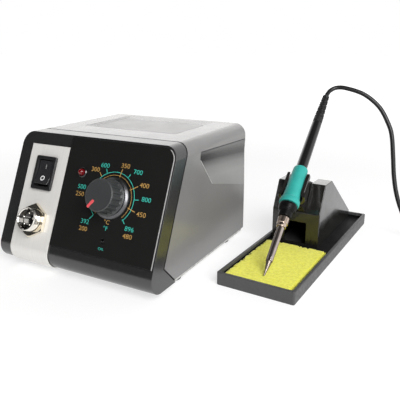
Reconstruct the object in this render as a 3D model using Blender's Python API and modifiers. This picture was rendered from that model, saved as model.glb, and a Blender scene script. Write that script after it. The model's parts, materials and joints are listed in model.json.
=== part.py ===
"""Soldering iron station: a control station, and an iron that lies in its own stand.

Lengths below are millimetres, and MM turns them into Blender's metres. X runs along the front
of the station to the right, Y to the rear, Z up. Z = 0 is the bench.
The station is laid out from the middle of its sloping front panel's lower end. The panel has its
own frame: x along it, v up the slope, n out of its face. The stand has its own frame at its front
left corner, and the iron has one at its tip, with its axis along z.
"""
import math

import bmesh
import bpy
from mathutils import Matrix, Vector

MM = 0.001
GAP = 0.3                       # clearance between pieces that touch on the real object

# Station housing
STATION_W = 150.0
STATION_H = 106.6
STATION_REAR = 153.0
COVER_WALL = 2.5
COVER_RADIUS = 10.0
COVER_BOTTOM = 7.3
PANEL_FOOT_Z = 26.8             # height of the sloping panel's lower end
PANEL_RUN = 36.85               # how far back the panel leans over its height
BEZEL_DEPTH = 13.2
BEZEL_WALL = 3.0
BEZEL_BOTTOM = 5.0
SEAM_KNEE_Z = 22.0              # where the seam behind the bezel turns rearward
SEAM_FOOT_Y = 28.4
NOSE_RADIUS = 12.0              # rounded lower lip of the bezel
BASE_TOP = 6.7
BASE_THICK = 1.8
FOOT_HEIGHT = 4.6
FOOT_X = 64.0
FOOT_Y = (42.0, 128.0)

# Front panel, as (x, v) places and sizes
STRIP_X = (-62.2, -22.1)
STRIP_TOP = 78.0
SHEET = 0.8
OVERLAY_X = (-21.5, 72.8)
OVERLAY_V = (-0.5, 84.6)
OVERLAY_TOP = 1.3
SWITCH_AT = (-41.8, 54.3)
SWITCH_FRAME = (21.0, 27.6)
SWITCH_POCKET = (15.4, 21.6)
ROCKER_SIZE = (14.4, 19.6)
ROCKER_TILT = 8.0
SOCKET_AT = (-42.2, 15.6)
SOCKET_R = 9.2
SOCKET_NUT_AF = 24.0
SOCKET_TOP = 10.8               # how far the socket stands out of the panel
PIN_CIRCLE = 5.0                # radius of the circle that socket and plug contacts stand on
DIAL_AT = (28.1, 43.8)
KNOB_R = 12.6
KNOB_BOTTOM = 5.2
KNOB_TOP = 17.4
DIAL_START = 227.5              # degrees, knob pointer at its lowest setting
LED_AT = (-3.8, 59.6)
CAL_AT = (27.8, 11.4)
BOARD_N = -11.0                 # front face of the control board

# Transformer and mains inlet
CORE = (66.0, 44.0, 55.0)
CORE_AT = (-4.0, 90.0)
CORE_LEG = 22.0
CORE_WINDOW = (11.0, 33.0)
INLET_AT = (-38.0, 40.0)        # x and z of the inlet's middle
INLET_BODY = (27.0, 33.0)
INLET_DEPTH = 27.0
DRAWER = (16.4, 8.4, 24.0)
DRAWER_Z = -11.0                # below the inlet's middle

# Stand
STAND_AT = (99.2, 48.3)
STAND_YAW = -3.0
TRAY = (63.0, 193.0, 10.5)
TRAY_WALL = 2.4
TRAY_FLOOR = 2.0
SPONGE_Y = (3.3, 86.0)
SPONGE_TOP = 8.8
BLOCK_X = (4.5, 47.5)
BLOCK_Y = (93.0, 188.0)
BLOCK_KNEE = 36.0
BLOCK_TOP = 60.0
BLOCK_TOP_Y = (104.0, 122.0)
BLOCK_TAIL_Z = 14.0
BLOCK_WALL = 2.6
NOTCH_X = (17.4, 34.6)
NOTCH_FLOOR = 40.0
MOUTH_X = (16.0, 36.0)
MOUTH_TOP = 27.0

# Iron, measured along its axis from the tip
IRON_PITCH = 38.0
IRON_LEAN = 4.0
CRADLE_POINT = (28.0, 84.0, 63.5)   # on the iron's axis, in the stand's frame
CRADLE_AT = 88.0
CRADLE_SPAN = (74.0, 98.0)
CRADLE_R = (7.4, 9.8)
BARREL_START = 12.6
BARREL_END = 56.0
NUT_SPAN = (44.0, 53.2)
COLLAR_SPAN = (53.6, 66.8)
GRIP_SPAN = (66.0, 104.0)
HANDLE_SPAN = (67.4, 158.0)
RELIEF_SPAN = (158.4, 192.0)

# Iron cord
CORD_R = 2.0
COIL_AT = (262.0, 188.0)
COIL_MEAN_R = 22.0
COIL_WIDE = 3                   # turns side by side
COIL_HIGH = 2                   # layers of turns
CORD_ROUTE = (
    (130.1, 212.9, 127.8), (130.6, 216.0, 130.2), (132.2, 219.8, 132.9), (136.9, 223.2, 135.2),
    (145.5, 224.4, 134.9),
    (162.0, 226.0, 129.8), (176.5, 227.0, 118.7), (186.2, 226.0, 103.9), (190.6, 224.0, 93.0),
    (194.2, 221.0, 74.0), (197.0, 218.5, 58.0), (201.0, 216.0, 43.0), (207.0, 214.5, 28.0),
    (215.5, 213.8, 13.0), (226.0, 213.8, 4.6), (237.0, 214.0, 2.3), (244.5, 214.0, 2.2),
)
PLUG_AT = (289.0, 150.0, 11.4)  # rear end of the plug's strain relief, which points along +Y
TAIL_ROUTE = (
    (288.0, 170.8, 6.8), (288.1, 165.5, 7.6), (288.6, 160.0, 9.4), (289.0, 155.0, 11.0),
    (289.0, 150.4, 11.4),
)

PANEL_RISE = STATION_H - PANEL_FOOT_Z
PANEL_LENGTH = math.hypot(PANEL_RUN, PANEL_RISE)
PANEL_ANGLE = math.atan2(PANEL_RISE, PANEL_RUN)


# ---------------------------------------------------------------- scene and materials

def clear_scene():
    for obj in list(bpy.data.objects):
        bpy.data.objects.remove(obj, do_unlink=True)


def new_collection(name):
    collection = bpy.data.collections.new(name)
    bpy.context.scene.collection.children.link(collection)
    return collection


def material(name, colour, roughness, metallic=0.0):
    mat = bpy.data.materials.new(name)
    mat.use_nodes = True
    shader = mat.node_tree.nodes["Principled BSDF"]
    shader.inputs["Base Color"].default_value = (*colour, 1.0)
    shader.inputs["Roughness"].default_value = roughness
    shader.inputs["Metallic"].default_value = metallic
    mat.diffuse_color = (*colour, 1.0)
    return mat


clear_scene()
PARTS = new_collection("soldering_iron_station")
CUTTERS = new_collection("cutters")

HOUSING_PLASTIC = material("housing_plastic", (0.10, 0.10, 0.10), 0.25)
BEZEL_PLASTIC = material("bezel_plastic", (0.035, 0.035, 0.038), 0.35)
PANEL_BLACK = material("panel_black", (0.012, 0.012, 0.013), 0.3)
SILVER_SHEET = material("silver_sheet", (0.70, 0.68, 0.65), 0.35, 0.6)
NICKEL = material("nickel", (0.75, 0.73, 0.70), 0.2, 1.0)
STEEL = material("steel", (0.55, 0.55, 0.55), 0.35, 1.0)
ZINC_SHEET = material("zinc_sheet", (0.62, 0.62, 0.60), 0.45, 0.9)
BLACK_PLASTIC = material("black_plastic", (0.02, 0.02, 0.02), 0.4)
RED_LENS = material("red_lens", (0.5, 0.01, 0.01), 0.15)
POINTER_RED = material("pointer_red", (0.6, 0.03, 0.02), 0.4)
BOARD_GREEN = material("board_green", (0.02, 0.16, 0.06), 0.5)
COPPER_WINDING = material("copper_winding", (0.45, 0.16, 0.05), 0.4, 0.6)
LAMINATION = material("lamination", (0.18, 0.17, 0.16), 0.5, 0.7)
RUBBER = material("rubber", (0.02, 0.02, 0.02), 0.8)
TRAY_GREY = material("tray_grey", (0.09, 0.09, 0.095), 0.6)
GLOSS_BLACK = material("gloss_black", (0.01, 0.01, 0.01), 0.12)
SPONGE_YELLOW = material("sponge_yellow", (0.75, 0.73, 0.08), 0.95)
GRIP_GREEN = material("grip_green", (0.05, 0.48, 0.40), 0.6)
CERAMIC = material("ceramic", (0.8, 0.78, 0.72), 0.6)
GLASS = material("glass", (0.8, 0.85, 0.85), 0.1)


# ---------------------------------------------------------------- building tools

def empty(name, location=(0, 0, 0), rotation=(0, 0, 0), parent=None):
    obj = bpy.data.objects.new(name, None)
    obj.location = Vector(location) * MM
    obj.rotation_euler = rotation
    obj.parent = parent
    PARTS.objects.link(obj)
    return obj


def place(obj, mat, parent, location=(0, 0, 0), rotation=(0, 0, 0), cutter=False):
    """Link the object, as a part with its material or as a hidden cutter."""
    obj.location = Vector(location) * MM
    obj.rotation_euler = rotation
    obj.parent = parent
    if cutter:
        CUTTERS.objects.link(obj)
        obj.hide_render = True
        obj.display_type = "WIRE"
    else:
        PARTS.objects.link(obj)
        obj.data.materials.append(mat)
    return obj


def finish_mesh(name, bm):
    mesh = bpy.data.meshes.new(name)
    bm.to_mesh(mesh)
    bm.free()
    return mesh


def box(name, low, high, mat=None, parent=None, bevel=0.0, segments=1, **kw):
    """A block from its lowest to its highest corner, with bevelled edges."""
    bm = bmesh.new()
    bmesh.ops.create_cube(bm, size=1.0)
    low, high = Vector(low), Vector(high)
    for vert in bm.verts:
        vert.co = Vector((l + (c + 0.5) * (h - l) for l, h, c in zip(low, high, vert.co))) * MM
    obj = place(bpy.data.objects.new(name, finish_mesh(name, bm)), mat, parent, **kw)
    if bevel:
        add_bevel(obj, bevel, segments)
    return obj


def add_bevel(obj, width, segments=2, angle=40.0):
    mod = obj.modifiers.new("rounded_edges", "BEVEL")
    mod.width = width * MM
    mod.segments = segments
    mod.limit_method = "ANGLE"
    mod.angle_limit = math.radians(angle)
    return mod


def plate(name, outline, low, high, mat=None, parent=None, holes=(), **kw):
    """A flat outline in XY, filled and extruded from z = low to z = high."""
    curve = bpy.data.curves.new(name + "_outline", "CURVE")
    curve.dimensions = "2D"
    curve.fill_mode = "BOTH"
    curve.extrude = (high - low) / 2 * MM
    for ring in (outline, *holes):
        spline = curve.splines.new("POLY")
        spline.points.add(len(ring) - 1)
        for point, (x, y) in zip(spline.points, ring):
            point.co = (x * MM, y * MM, 0, 1)
        spline.use_cyclic_u = True
    source = bpy.data.objects.new(name + "_outline", curve)
    bpy.context.scene.collection.objects.link(source)
    graph = bpy.context.evaluated_depsgraph_get()
    mesh = bpy.data.meshes.new_from_object(source.evaluated_get(graph))
    mesh.transform(Matrix.Translation((0, 0, (high + low) / 2 * MM)))
    bpy.data.objects.remove(source, do_unlink=True)
    bm = bmesh.new()
    bm.from_mesh(mesh)
    bmesh.ops.remove_doubles(bm, verts=bm.verts, dist=0.002 * MM)
    bmesh.ops.recalc_face_normals(bm, faces=bm.faces)
    bm.to_mesh(mesh)
    bm.free()
    mesh.name = name
    return place(bpy.data.objects.new(name, mesh), mat, parent, **kw)


def side_prism(name, outline, low_x, high_x, mat=None, parent=None, **kw):
    """An outline of (y, z) points, extruded along X."""
    turned_points = [(y, z) for y, z in outline]
    obj = plate(name, turned_points, low_x, high_x, mat, parent, **kw)
    obj.data.transform(Matrix(((0, 0, 1, 0), (1, 0, 0, 0), (0, 1, 0, 0), (0, 0, 0, 1))))
    return obj


def front_prism(name, outline, low_y, high_y, mat=None, parent=None, **kw):
    """An outline of (x, z) points, extruded along Y."""
    obj = plate(name, outline, -high_y, -low_y, mat, parent, **kw)
    obj.data.transform(Matrix.Rotation(math.radians(90), 4, "X"))
    return obj


def turned(name, profile, steps, mat=None, parent=None, ring=False, **kw):
    """A profile of (radius, z) turned round Z. Its outer side runs from the top down."""
    bm = bmesh.new()
    verts = [bm.verts.new((r * MM, 0, z * MM)) for r, z in profile]
    pairs = list(zip(verts, verts[1:]))
    if ring:
        pairs.append((verts[-1], verts[0]))
    for pair in pairs:
        bm.edges.new(pair)
    obj = place(bpy.data.objects.new(name, finish_mesh(name, bm)), mat, parent, **kw)
    screw = obj.modifiers.new("turned", "SCREW")
    screw.steps = steps
    screw.render_steps = steps
    screw.use_merge_vertices = True
    screw.merge_threshold = 0.01 * MM
    screw.use_smooth_shade = True
    return obj


def rod(name, radius, low, high, steps=24, mat=None, parent=None, **kw):
    bm = bmesh.new()
    bmesh.ops.create_cone(bm, cap_ends=True, segments=steps, radius1=radius * MM,
                          radius2=radius * MM, depth=(high - low) * MM)
    bmesh.ops.translate(bm, verts=bm.verts, vec=(0, 0, (high + low) / 2 * MM))
    return place(bpy.data.objects.new(name, finish_mesh(name, bm)), mat, parent, **kw)


def boolean(obj, other, operation="DIFFERENCE"):
    mod = obj.modifiers.new(operation.lower(), "BOOLEAN")
    mod.operation = operation
    mod.object = other
    mod.solver = "EXACT"


def cut(obj, *others):
    for other in others:
        boolean(obj, other)


def join(obj, *others):
    for other in others:
        boolean(obj, other, "UNION")


def arc(centre, radius, start, end, count):
    """Points on an arc, angles in degrees."""
    angles = [math.radians(start + (end - start) * i / count) for i in range(count + 1)]
    return [(centre[0] + radius * math.cos(a), centre[1] + radius * math.sin(a)) for a in angles]


def rounded_rectangle(low, high, radius, count=3):
    (x0, y0), (x1, y1), r = low, high, radius
    points = arc((x1 - r, y0 + r), r, -90, 0, count)
    points += arc((x1 - r, y1 - r), r, 0, 90, count)
    points += arc((x0 + r, y1 - r), r, 90, 180, count)
    points += arc((x0 + r, y0 + r), r, 180, 270, count)
    return points


def centred_rectangle(centre, size, radius, count=3):
    low = (centre[0] - size[0] / 2, centre[1] - size[1] / 2)
    high = (centre[0] + size[0] / 2, centre[1] + size[1] / 2)
    return rounded_rectangle(low, high, radius, count)


def hexagon(across_flats):
    return arc((0, 0), across_flats / math.sqrt(3), 0, 300, 5)


def arch(half_width, bottom, top, radius, count=6):
    """Outline of a box with rounded upper corners, in (x, z)."""
    points = [(-half_width, bottom), (half_width, bottom)]
    points += arc((half_width - radius, top - radius), radius, 0, 90, count)
    points += arc((-half_width + radius, top - radius), radius, 90, 180, count)
    return points


def smooth_route(points, spacing):
    """Even steps along a Catmull-Rom curve through the points."""
    points = [Vector(p) for p in points]
    ends = [2 * points[0] - points[1], *points, 2 * points[-1] - points[-2]]
    fine = []
    for a, b, c, d in zip(ends, ends[1:], ends[2:], ends[3:]):
        for i in range(16):
            t = i / 16
            fine.append(0.5 * (2 * b + (c - a) * t + (2 * a - 5 * b + 4 * c - d) * t * t
                               + (3 * b - a - 3 * c + d) * t ** 3))
    fine.append(points[-1])
    lengths = [0.0]
    for a, b in zip(fine, fine[1:]):
        lengths.append(lengths[-1] + (b - a).length)
    count = max(2, round(lengths[-1] / spacing))
    route, index = [], 0
    for step in range(count + 1):
        wanted = lengths[-1] * step / count
        while index < len(fine) - 2 and lengths[index + 1] < wanted:
            index += 1
        share = (wanted - lengths[index]) / (lengths[index + 1] - lengths[index])
        route.append(fine[index].lerp(fine[index + 1], share))
    return route


def cord_tube(name, route, mat, parent):
    """A round cord along a smooth curve through its route."""
    curve = bpy.data.curves.new(name, "CURVE")
    curve.dimensions = "3D"
    curve.bevel_depth = CORD_R * MM
    curve.bevel_resolution = 2
    curve.use_fill_caps = True
    points = smooth_route(route, CORD_R * 5)
    spline = curve.splines.new("POLY")
    spline.points.add(len(points) - 1)
    for point, co in zip(spline.points, points):
        point.co = (*(co * MM), 1)
    return place(bpy.data.objects.new(name, curve), mat, parent)


# ---------------------------------------------------------------- frames

def stand_point(x, y):
    """A place in the stand's frame, as x and y in the station's."""
    yaw = math.radians(STAND_YAW)
    return (STAND_AT[0] + x * math.cos(yaw) - y * math.sin(yaw),
            STAND_AT[1] + x * math.sin(yaw) + y * math.cos(yaw))


def middle_of_footprint():
    """The middle of the whole object seen from above, cord left out."""
    left = -STATION_W / 2
    right = stand_point(TRAY[0], TRAY[1])[0]
    socket_rim = SOCKET_AT[1] - SOCKET_R + 0.4
    front = socket_rim * math.cos(PANEL_ANGLE) - SOCKET_TOP * math.sin(PANEL_ANGLE)
    rear = stand_point(0, TRAY[1])[1]
    return (left + right) / 2, (front + rear) / 2


def bezel_nose_centre():
    """Centre of the arc that meets the panel's face and the bezel's flat bottom."""
    up, out = math.cos(PANEL_ANGLE), math.sin(PANEL_ANGLE)
    drop = (PANEL_FOOT_Z - BEZEL_BOTTOM - NOSE_RADIUS * (1 + up)) / out
    y = -drop * up + NOSE_RADIUS * out
    return (y, BEZEL_BOTTOM + NOSE_RADIUS)


BEZEL_CENTRE = bezel_nose_centre()
MIDDLE = middle_of_footprint()
ROOT = empty("station_frame", (-MIDDLE[0], -MIDDLE[1], 0))
PANEL = empty("panel_frame", (0, 0, PANEL_FOOT_Z), (PANEL_ANGLE, 0, 0), ROOT)
STAND = empty("stand_frame", (*STAND_AT, 0), (0, 0, math.radians(STAND_YAW)), ROOT)


def iron_frame():
    pitch, lean = math.radians(IRON_PITCH), math.radians(IRON_LEAN)
    axis = Vector((-math.cos(pitch) * math.sin(lean), math.cos(pitch) * math.cos(lean),
                   math.sin(pitch)))
    tip = Vector(CRADLE_POINT) - axis * CRADLE_AT
    return empty("iron_frame", tip, (pitch - math.pi / 2, 0, lean), STAND)


IRON = iron_frame()


# ---------------------------------------------------------------- station housing

def panel_y(z):
    """Y of the sloping front face at height z."""
    return (z - PANEL_FOOT_Z) * PANEL_RUN / PANEL_RISE


def seam_line(offset):
    """Side outline of the joint between bezel and cover, moved back by offset."""
    back = BEZEL_DEPTH / math.sin(PANEL_ANGLE) + offset
    return [(panel_y(STATION_H + 8) + back, STATION_H + 8),
            (panel_y(SEAM_KNEE_Z) + back, SEAM_KNEE_Z), (SEAM_FOOT_Y + offset, BEZEL_BOTTOM)]


def housing_cover():
    half = STATION_W / 2
    outer = arch(half, COVER_BOTTOM, STATION_H, COVER_RADIUS)
    cover = front_prism("housing_cover", outer, 5.0, STATION_REAR, HOUSING_PLASTIC, ROOT)
    inner = arch(half - COVER_WALL, -10, STATION_H - COVER_WALL, COVER_RADIUS - COVER_WALL)
    hollow = front_prism("cover_hollow", inner, -10, STATION_REAR + 10, None, ROOT, cutter=True)
    front = [(-60, STATION_H + 8), *seam_line(0.4), (SEAM_FOOT_Y, -5), (-60, -5)]
    slant = side_prism("cover_front_cut", front, -half - 5, half + 5, None, ROOT, cutter=True)
    cut(cover, hollow, slant)
    top = box("cover_top_recess", (-46, 78, STATION_H - 0.9), (46, 143, STATION_H + 5), None,
              ROOT, cutter=True)
    side = [(68.0, 91.0), (69.0, 96.8), (148.5, 93.4), (148.5, 51.4), (88.0, 66.6)]
    cut(cover, top)
    for name, low, high in (("left", -half - 5, -half + 0.7), ("right", half - 0.7, half + 5)):
        cut(cover, side_prism("cover_recess_" + name, side, low, high, None, ROOT, cutter=True))
    return cover


def bezel_outline(inset, back):
    """Side outline of the bezel: face, rounded lip, bottom, seam. Inset shrinks it."""
    centre, radius = BEZEL_CENTRE, NOSE_RADIUS - inset
    start = 180 - math.degrees(math.pi / 2 - PANEL_ANGLE)
    top = STATION_H - inset
    face = inset / math.sin(PANEL_ANGLE)
    points = [(panel_y(top) + face, top)]
    points += arc(centre, radius, start, 270, 9)
    points += [(SEAM_FOOT_Y + back, BEZEL_BOTTOM + inset)]
    seam = BEZEL_DEPTH / math.sin(PANEL_ANGLE) + back
    points += [(panel_y(SEAM_KNEE_Z) + seam, SEAM_KNEE_Z), (panel_y(top) + seam, top)]
    return points


def front_bezel():
    half = STATION_W / 2
    bezel = side_prism("front_bezel", bezel_outline(0, 0), -half, half, BEZEL_PLASTIC, ROOT)
    rounding = front_prism("bezel_rounding", arch(half, 0, STATION_H, COVER_RADIUS), -30, 90,
                           None, ROOT, cutter=True)
    boolean(bezel, rounding, "INTERSECT")
    hollow = side_prism("bezel_hollow", bezel_outline(BEZEL_WALL, 15), -half + BEZEL_WALL,
                        half - BEZEL_WALL, None, ROOT, cutter=True)
    inner = arch(half - BEZEL_WALL, 0, STATION_H - BEZEL_WALL, COVER_RADIUS - BEZEL_WALL)
    inner_rounding = front_prism("bezel_inner_rounding", inner, -30, 90, None, ROOT, cutter=True)
    boolean(hollow, inner_rounding, "INTERSECT")
    cut(bezel, hollow)
    for hole in panel_holes("bezel", -8.0, 8.0):
        cut(bezel, hole)
    return bezel


def panel_holes(prefix, low, high, trimmer_r=2.7):
    """Openings through the front: switch, socket, knob bush, lamp and trimmer."""
    switch = (18.2, 24.2)
    yield plate(prefix + "_switch_hole", centred_rectangle(SWITCH_AT, switch, 0.6, 1), low, high,
                None, PANEL, cutter=True)
    for name, at, radius in (("socket", SOCKET_AT, SOCKET_R + 0.35), ("bush", DIAL_AT, 4.9),
                             ("lamp", LED_AT, 3.5), ("trimmer", CAL_AT, trimmer_r)):
        yield rod(prefix + "_" + name + "_hole", radius, low, high, 24, None, PANEL,
                  location=(*at, 0), cutter=True)


def connector_strip():
    """Silver sheet over the left of the panel, wrapped round the lower lip."""
    start = 180 - math.degrees(math.pi / 2 - PANEL_ANGLE)
    top = PANEL_FOOT_Z + STRIP_TOP * math.sin(PANEL_ANGLE)

    def offset_path(offset):
        face = -offset / math.sin(PANEL_ANGLE)
        return [(panel_y(top) + face, top), *arc(BEZEL_CENTRE, NOSE_RADIUS + offset, start, 268, 9)]

    outline = offset_path(GAP) + offset_path(GAP + SHEET)[::-1]
    strip = side_prism("connector_strip", outline, *STRIP_X, SILVER_SHEET, ROOT)
    for hole in list(panel_holes("strip", -2.0, 4.0))[:2]:
        cut(strip, hole)
    return strip


def panel_overlay():
    (x0, x1), (v0, v1) = OVERLAY_X, OVERLAY_V
    outline = [(x0, v0), (x1, v0), *arc((x1 - 9, v1 - 9), 9, 0, 90, 5), (x0, v1)]
    overlay = plate("panel_overlay", outline, GAP, OVERLAY_TOP, PANEL_BLACK, PANEL)
    for hole in list(panel_holes("overlay", -2.0, 4.0, 2.0))[2:]:
        cut(overlay, hole)
    return overlay


def base_plate():
    """Zinc tray that closes the bottom, with its sides turned up inside the cover."""
    low, top = BASE_TOP - BASE_THICK, BASE_TOP
    flange = (STATION_W / 2 - COVER_WALL - 0.5, STATION_W / 2 - COVER_WALL - 2.0)
    outline = [(-74, low), (74, low), (74, top), (flange[0], top), (flange[0], top + 10),
               (flange[1], top + 10), (flange[1], top), (-flange[1], top), (-flange[1], top + 10),
               (-flange[0], top + 10), (-flange[0], top), (-74, top)]
    base = front_prism("base_plate", outline, 29.2, 150.0, ZINC_SHEET, ROOT)
    for side in (-1, 1):
        for row in range(6):
            y = 60 + row * 9
            x = side * 56
            slot = box("base_slot_%s_%d" % ("lr"[side > 0], row), (x - 9, y - 1.6, low - 3),
                       (x + 9, y + 1.6, top + 3), None, ROOT, cutter=True)
            cut(base, slot)
    return base


def rear_panel():
    half = STATION_W / 2 - COVER_WALL - 0.4
    outline = arch(half, BASE_TOP + 0.4, STATION_H - COVER_WALL - 0.4, COVER_RADIUS - 2.9)
    panel = front_prism("rear_panel", outline, 150.4, 152.4, HOUSING_PLASTIC, ROOT)
    x, z = INLET_AT
    w, h = INLET_BODY
    cut(panel, box("inlet_hole", (x - w / 2 - 0.4, 140, z - h / 2 - 0.4),
                   (x + w / 2 + 0.4, 160, z + h / 2 + 0.4), None, ROOT, cutter=True))
    for row in range(7):
        z = 40 + row * 7
        cut(panel, box("vent_%d" % row, (12, 140, z - 1.3), (56, 160, z + 1.3), None, ROOT,
                       cutter=True))
    for index, (x, z) in enumerate(rear_screw_places()):
        cut(panel, rod("rear_screw_hole_%d" % index, 1.8, -8, 8, 12, None, ROOT,
                       location=(x, 151.4, z), rotation=(math.pi / 2, 0, 0), cutter=True))
    return panel


def rear_screw_places():
    return [(-65, 15), (65, 15), (-62, 94), (62, 94)]


def rear_screws():
    profile = [(0, 1.9), (1.5, 1.8), (2.7, 0.9), (2.9, 0.3), (1.45, 0.3), (1.45, -7.0), (0, -7.0)]
    for index, (x, z) in enumerate(rear_screw_places()):
        screw = turned("rear_screw_%d" % (index + 1), profile, 12, STEEL, ROOT,
                       location=(x, 152.4, z), rotation=(-math.pi / 2, 0, 0))
        for turn in (0, 90):
            slot = box("screw_slot_%d_%d" % (index, turn), (-1.6, -0.35, 1.0), (1.6, 0.35, 3),
                       None, screw, rotation=(0, 0, math.radians(turn)), cutter=True)
            cut(screw, slot)


def rubber_feet():
    top = FOOT_HEIGHT
    profile = [(0, top), (7.0, top), (7.5, top - 0.8), (6.6, 0.5), (6.0, 0), (2.4, 0), (2.4, 1.6),
               (0, 1.6)]
    places = [(x, y) for y in FOOT_Y for x in (-FOOT_X, FOOT_X)]
    for index, (x, y) in enumerate(places):
        turned("rubber_foot_%d" % (index + 1), profile, 16, RUBBER, ROOT, location=(x, y, 0))


# ---------------------------------------------------------------- switch, socket, lamp

def power_switch():
    """Rocker switch: a frame clipped in the panel, and a rocker at the middle of its pocket."""
    x, v = SWITCH_AT
    face = GAP + SHEET + GAP
    frame = plate("switch_frame", centred_rectangle((0, 0), SWITCH_FRAME, 1.6, 3), face,
                  face + 2.3, BLACK_PLASTIC, PANEL, location=(x, v, 0))
    join(frame, box("switch_body", (-8.5, -11.5, -19), (8.5, 11.5, face + 0.5), None, PANEL,
                    location=(x, v, 0), cutter=True))
    w, h = SWITCH_POCKET
    cut(frame, box("switch_pocket", (-w / 2, -h / 2, -9), (w / 2, h / 2, 9), None, PANEL,
                   location=(x, v, 0), cutter=True))
    add_bevel(frame, 0.35, 1)
    half = ROCKER_SIZE[1] / 2
    rocker = side_prism("switch_rocker", [(-half, 5.0), (-half + 0.4, -3.0), (-4, -5.5),
                                          (4, -5.5), (half - 0.4, -3.0), (half, 5.0), (0, 3.4)],
                        -ROCKER_SIZE[0] / 2, ROCKER_SIZE[0] / 2, BLACK_PLASTIC, PANEL,
                        location=(x, v, -1.6), rotation=(-math.radians(ROCKER_TILT), 0, 0))
    add_bevel(rocker, 0.3, 1, 30)


def iron_socket():
    """Round panel socket: threaded barrel, panel nut and an insert with five pins."""
    at = (*SOCKET_AT, 0)
    r, bore, top = SOCKET_R, SOCKET_R - 1.4, SOCKET_TOP
    turned("socket_shell", [(bore + 0.5, top), (r - 0.4, top), (r, top - 0.4), (r, -3.4),
                            (11.2, -3.4), (11.2, -5.0), (r, -5.0), (r, -12), (bore, -12),
                            (bore, top - 0.4)],
           24, NICKEL, PANEL, ring=True, location=at)
    nut_low = GAP + SHEET + GAP
    hole = arc((0, 0), r + 0.5, 0, 337.5, 15)
    nut = plate("socket_nut", hexagon(SOCKET_NUT_AF), nut_low, nut_low + 3.0, NICKEL, PANEL,
                holes=(hole,), location=at, rotation=(0, 0, math.radians(28)))
    add_bevel(nut, 0.35, 1, 50)
    insert = turned("socket_insert", [(0, 5.0), (bore - 0.6, 5.0), (bore - 0.35, 4.7),
                                      (bore - 0.35, -11), (0, -11)], 24, BLACK_PLASTIC, PANEL,
                    location=at)
    for index in range(5):
        angle = math.radians(90 + index * 72)
        pin_at = (at[0] + PIN_CIRCLE * math.cos(angle), at[1] + PIN_CIRCLE * math.sin(angle), 0)
        join(insert, rod("socket_pin_%d" % index, 0.8, -14, 8.8, 8, None, PANEL,
                         location=pin_at, cutter=True))


def power_lamp():
    at = (*LED_AT, 0)
    low = OVERLAY_TOP + GAP
    turned("led_bezel", [(2.9, low + 1.2), (3.6, low + 1.2), (4.4, low + 0.4), (4.4, low),
                         (3.2, low), (3.2, -4.5), (2.9, -4.5)], 20, BLACK_PLASTIC, PANEL,
           ring=True, location=at)
    dome = arc((0, low + 1.6), 2.5, 90, 0, 4)
    turned("led_lens", [(0, low + 4.1), *dome[1:], (2.5, -6), (0, -6)], 20, RED_LENS, PANEL,
           location=at)


# ---------------------------------------------------------------- dial

def fluted_knob():
    """Knob with a fluted side on a thin flange, and a groove for its pointer in its face."""
    at = (*DIAL_AT, 0)
    flutes = 16
    outline = []
    for index in range(flutes):
        for share, depth in ((0.0, 0.0), (0.45, 0.0), (0.6, 0.8), (0.85, 0.8)):
            angle = 2 * math.pi * (index + share) / flutes
            radius = KNOB_R - depth
            outline.append((radius * math.cos(angle), radius * math.sin(angle)))
    knob = plate("temp_knob", outline, KNOB_BOTTOM + 0.6, KNOB_TOP, PANEL_BLACK, PANEL,
                 location=at)
    add_bevel(knob, 0.5, 1, 60)
    flange = KNOB_R + 1.3
    join(knob, rod("knob_flange", flange, KNOB_BOTTOM - 0.4, KNOB_BOTTOM + 1.2, 32, None, PANEL,
                   location=at, cutter=True))
    cut(knob, turned("knob_bore", [(0, KNOB_TOP - 3.0), (3.3, KNOB_TOP - 3.0),
                                   (3.3, KNOB_BOTTOM + 1), (8.0, KNOB_BOTTOM + 1), (8.0, -3),
                                   (0, -3)], 20, None, PANEL, location=at, cutter=True))
    turn = math.radians(DIAL_START)
    cut(knob, box("pointer_groove", (3.6, -1.1, KNOB_TOP - 1.0), (16, 1.1, KNOB_TOP + 2), None,
                  PANEL, location=at, rotation=(0, 0, turn), cutter=True))
    box("knob_pointer", (4.0, -0.75, KNOB_TOP - 0.7), (11.0, 0.75, KNOB_TOP + 0.1), POINTER_RED,
        PANEL, location=at, rotation=(0, 0, turn))
    low, high = OVERLAY_TOP + 0.4, KNOB_BOTTOM - 0.4 - GAP
    turned("knob_ring", [(12.6, high), (14.1, high), (16.1, high - 1.8), (16.3, high - 2.2),
                         (16.3, low), (12.6, low)], 32, NICKEL, PANEL, ring=True, location=at)


def potentiometer():
    at = (*DIAL_AT, 0)
    back = BOARD_N + 0.3
    turned("pot_body", [(0, back + 2.0), (3.4, back + 2.0), (3.4, 2.9), (4.5, 2.9), (4.5, -3.4),
                        (11.0, -3.4), (11.4, -3.8), (11.4, back), (0, back)], 24,
           STEEL, PANEL, location=at)
    turned("pot_shaft", [(0, KNOB_TOP - 3.6), (2.6, KNOB_TOP - 3.6), (3.0, KNOB_TOP - 4.0),
                         (3.0, back + 2.3), (0, back + 2.3)], 16, STEEL, PANEL, location=at)
    nut_hole = arc((0, 0), 4.95, 0, 337.5, 15)
    nut_low = OVERLAY_TOP + GAP
    plate("pot_nut", hexagon(12.0), nut_low, nut_low + 1.9, NICKEL, PANEL, holes=(nut_hole,),
          location=at)


def calibration_trimmer():
    at = (*CAL_AT, 0)
    back = BOARD_N + 0.3
    box("cal_trimmer", (-4.5, -4.5, back), (4.5, 4.5, -5.4), BLACK_PLASTIC, PANEL, 0.4,
        location=at)
    rotor = rod("trimmer_rotor", 2.2, -5.1, -1.4, 16, NICKEL, PANEL, location=at)
    cut(rotor, box("rotor_slot", (-4, -0.45, -2.3), (4, 0.45, 0), None, PANEL, location=at,
                   cutter=True))


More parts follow.
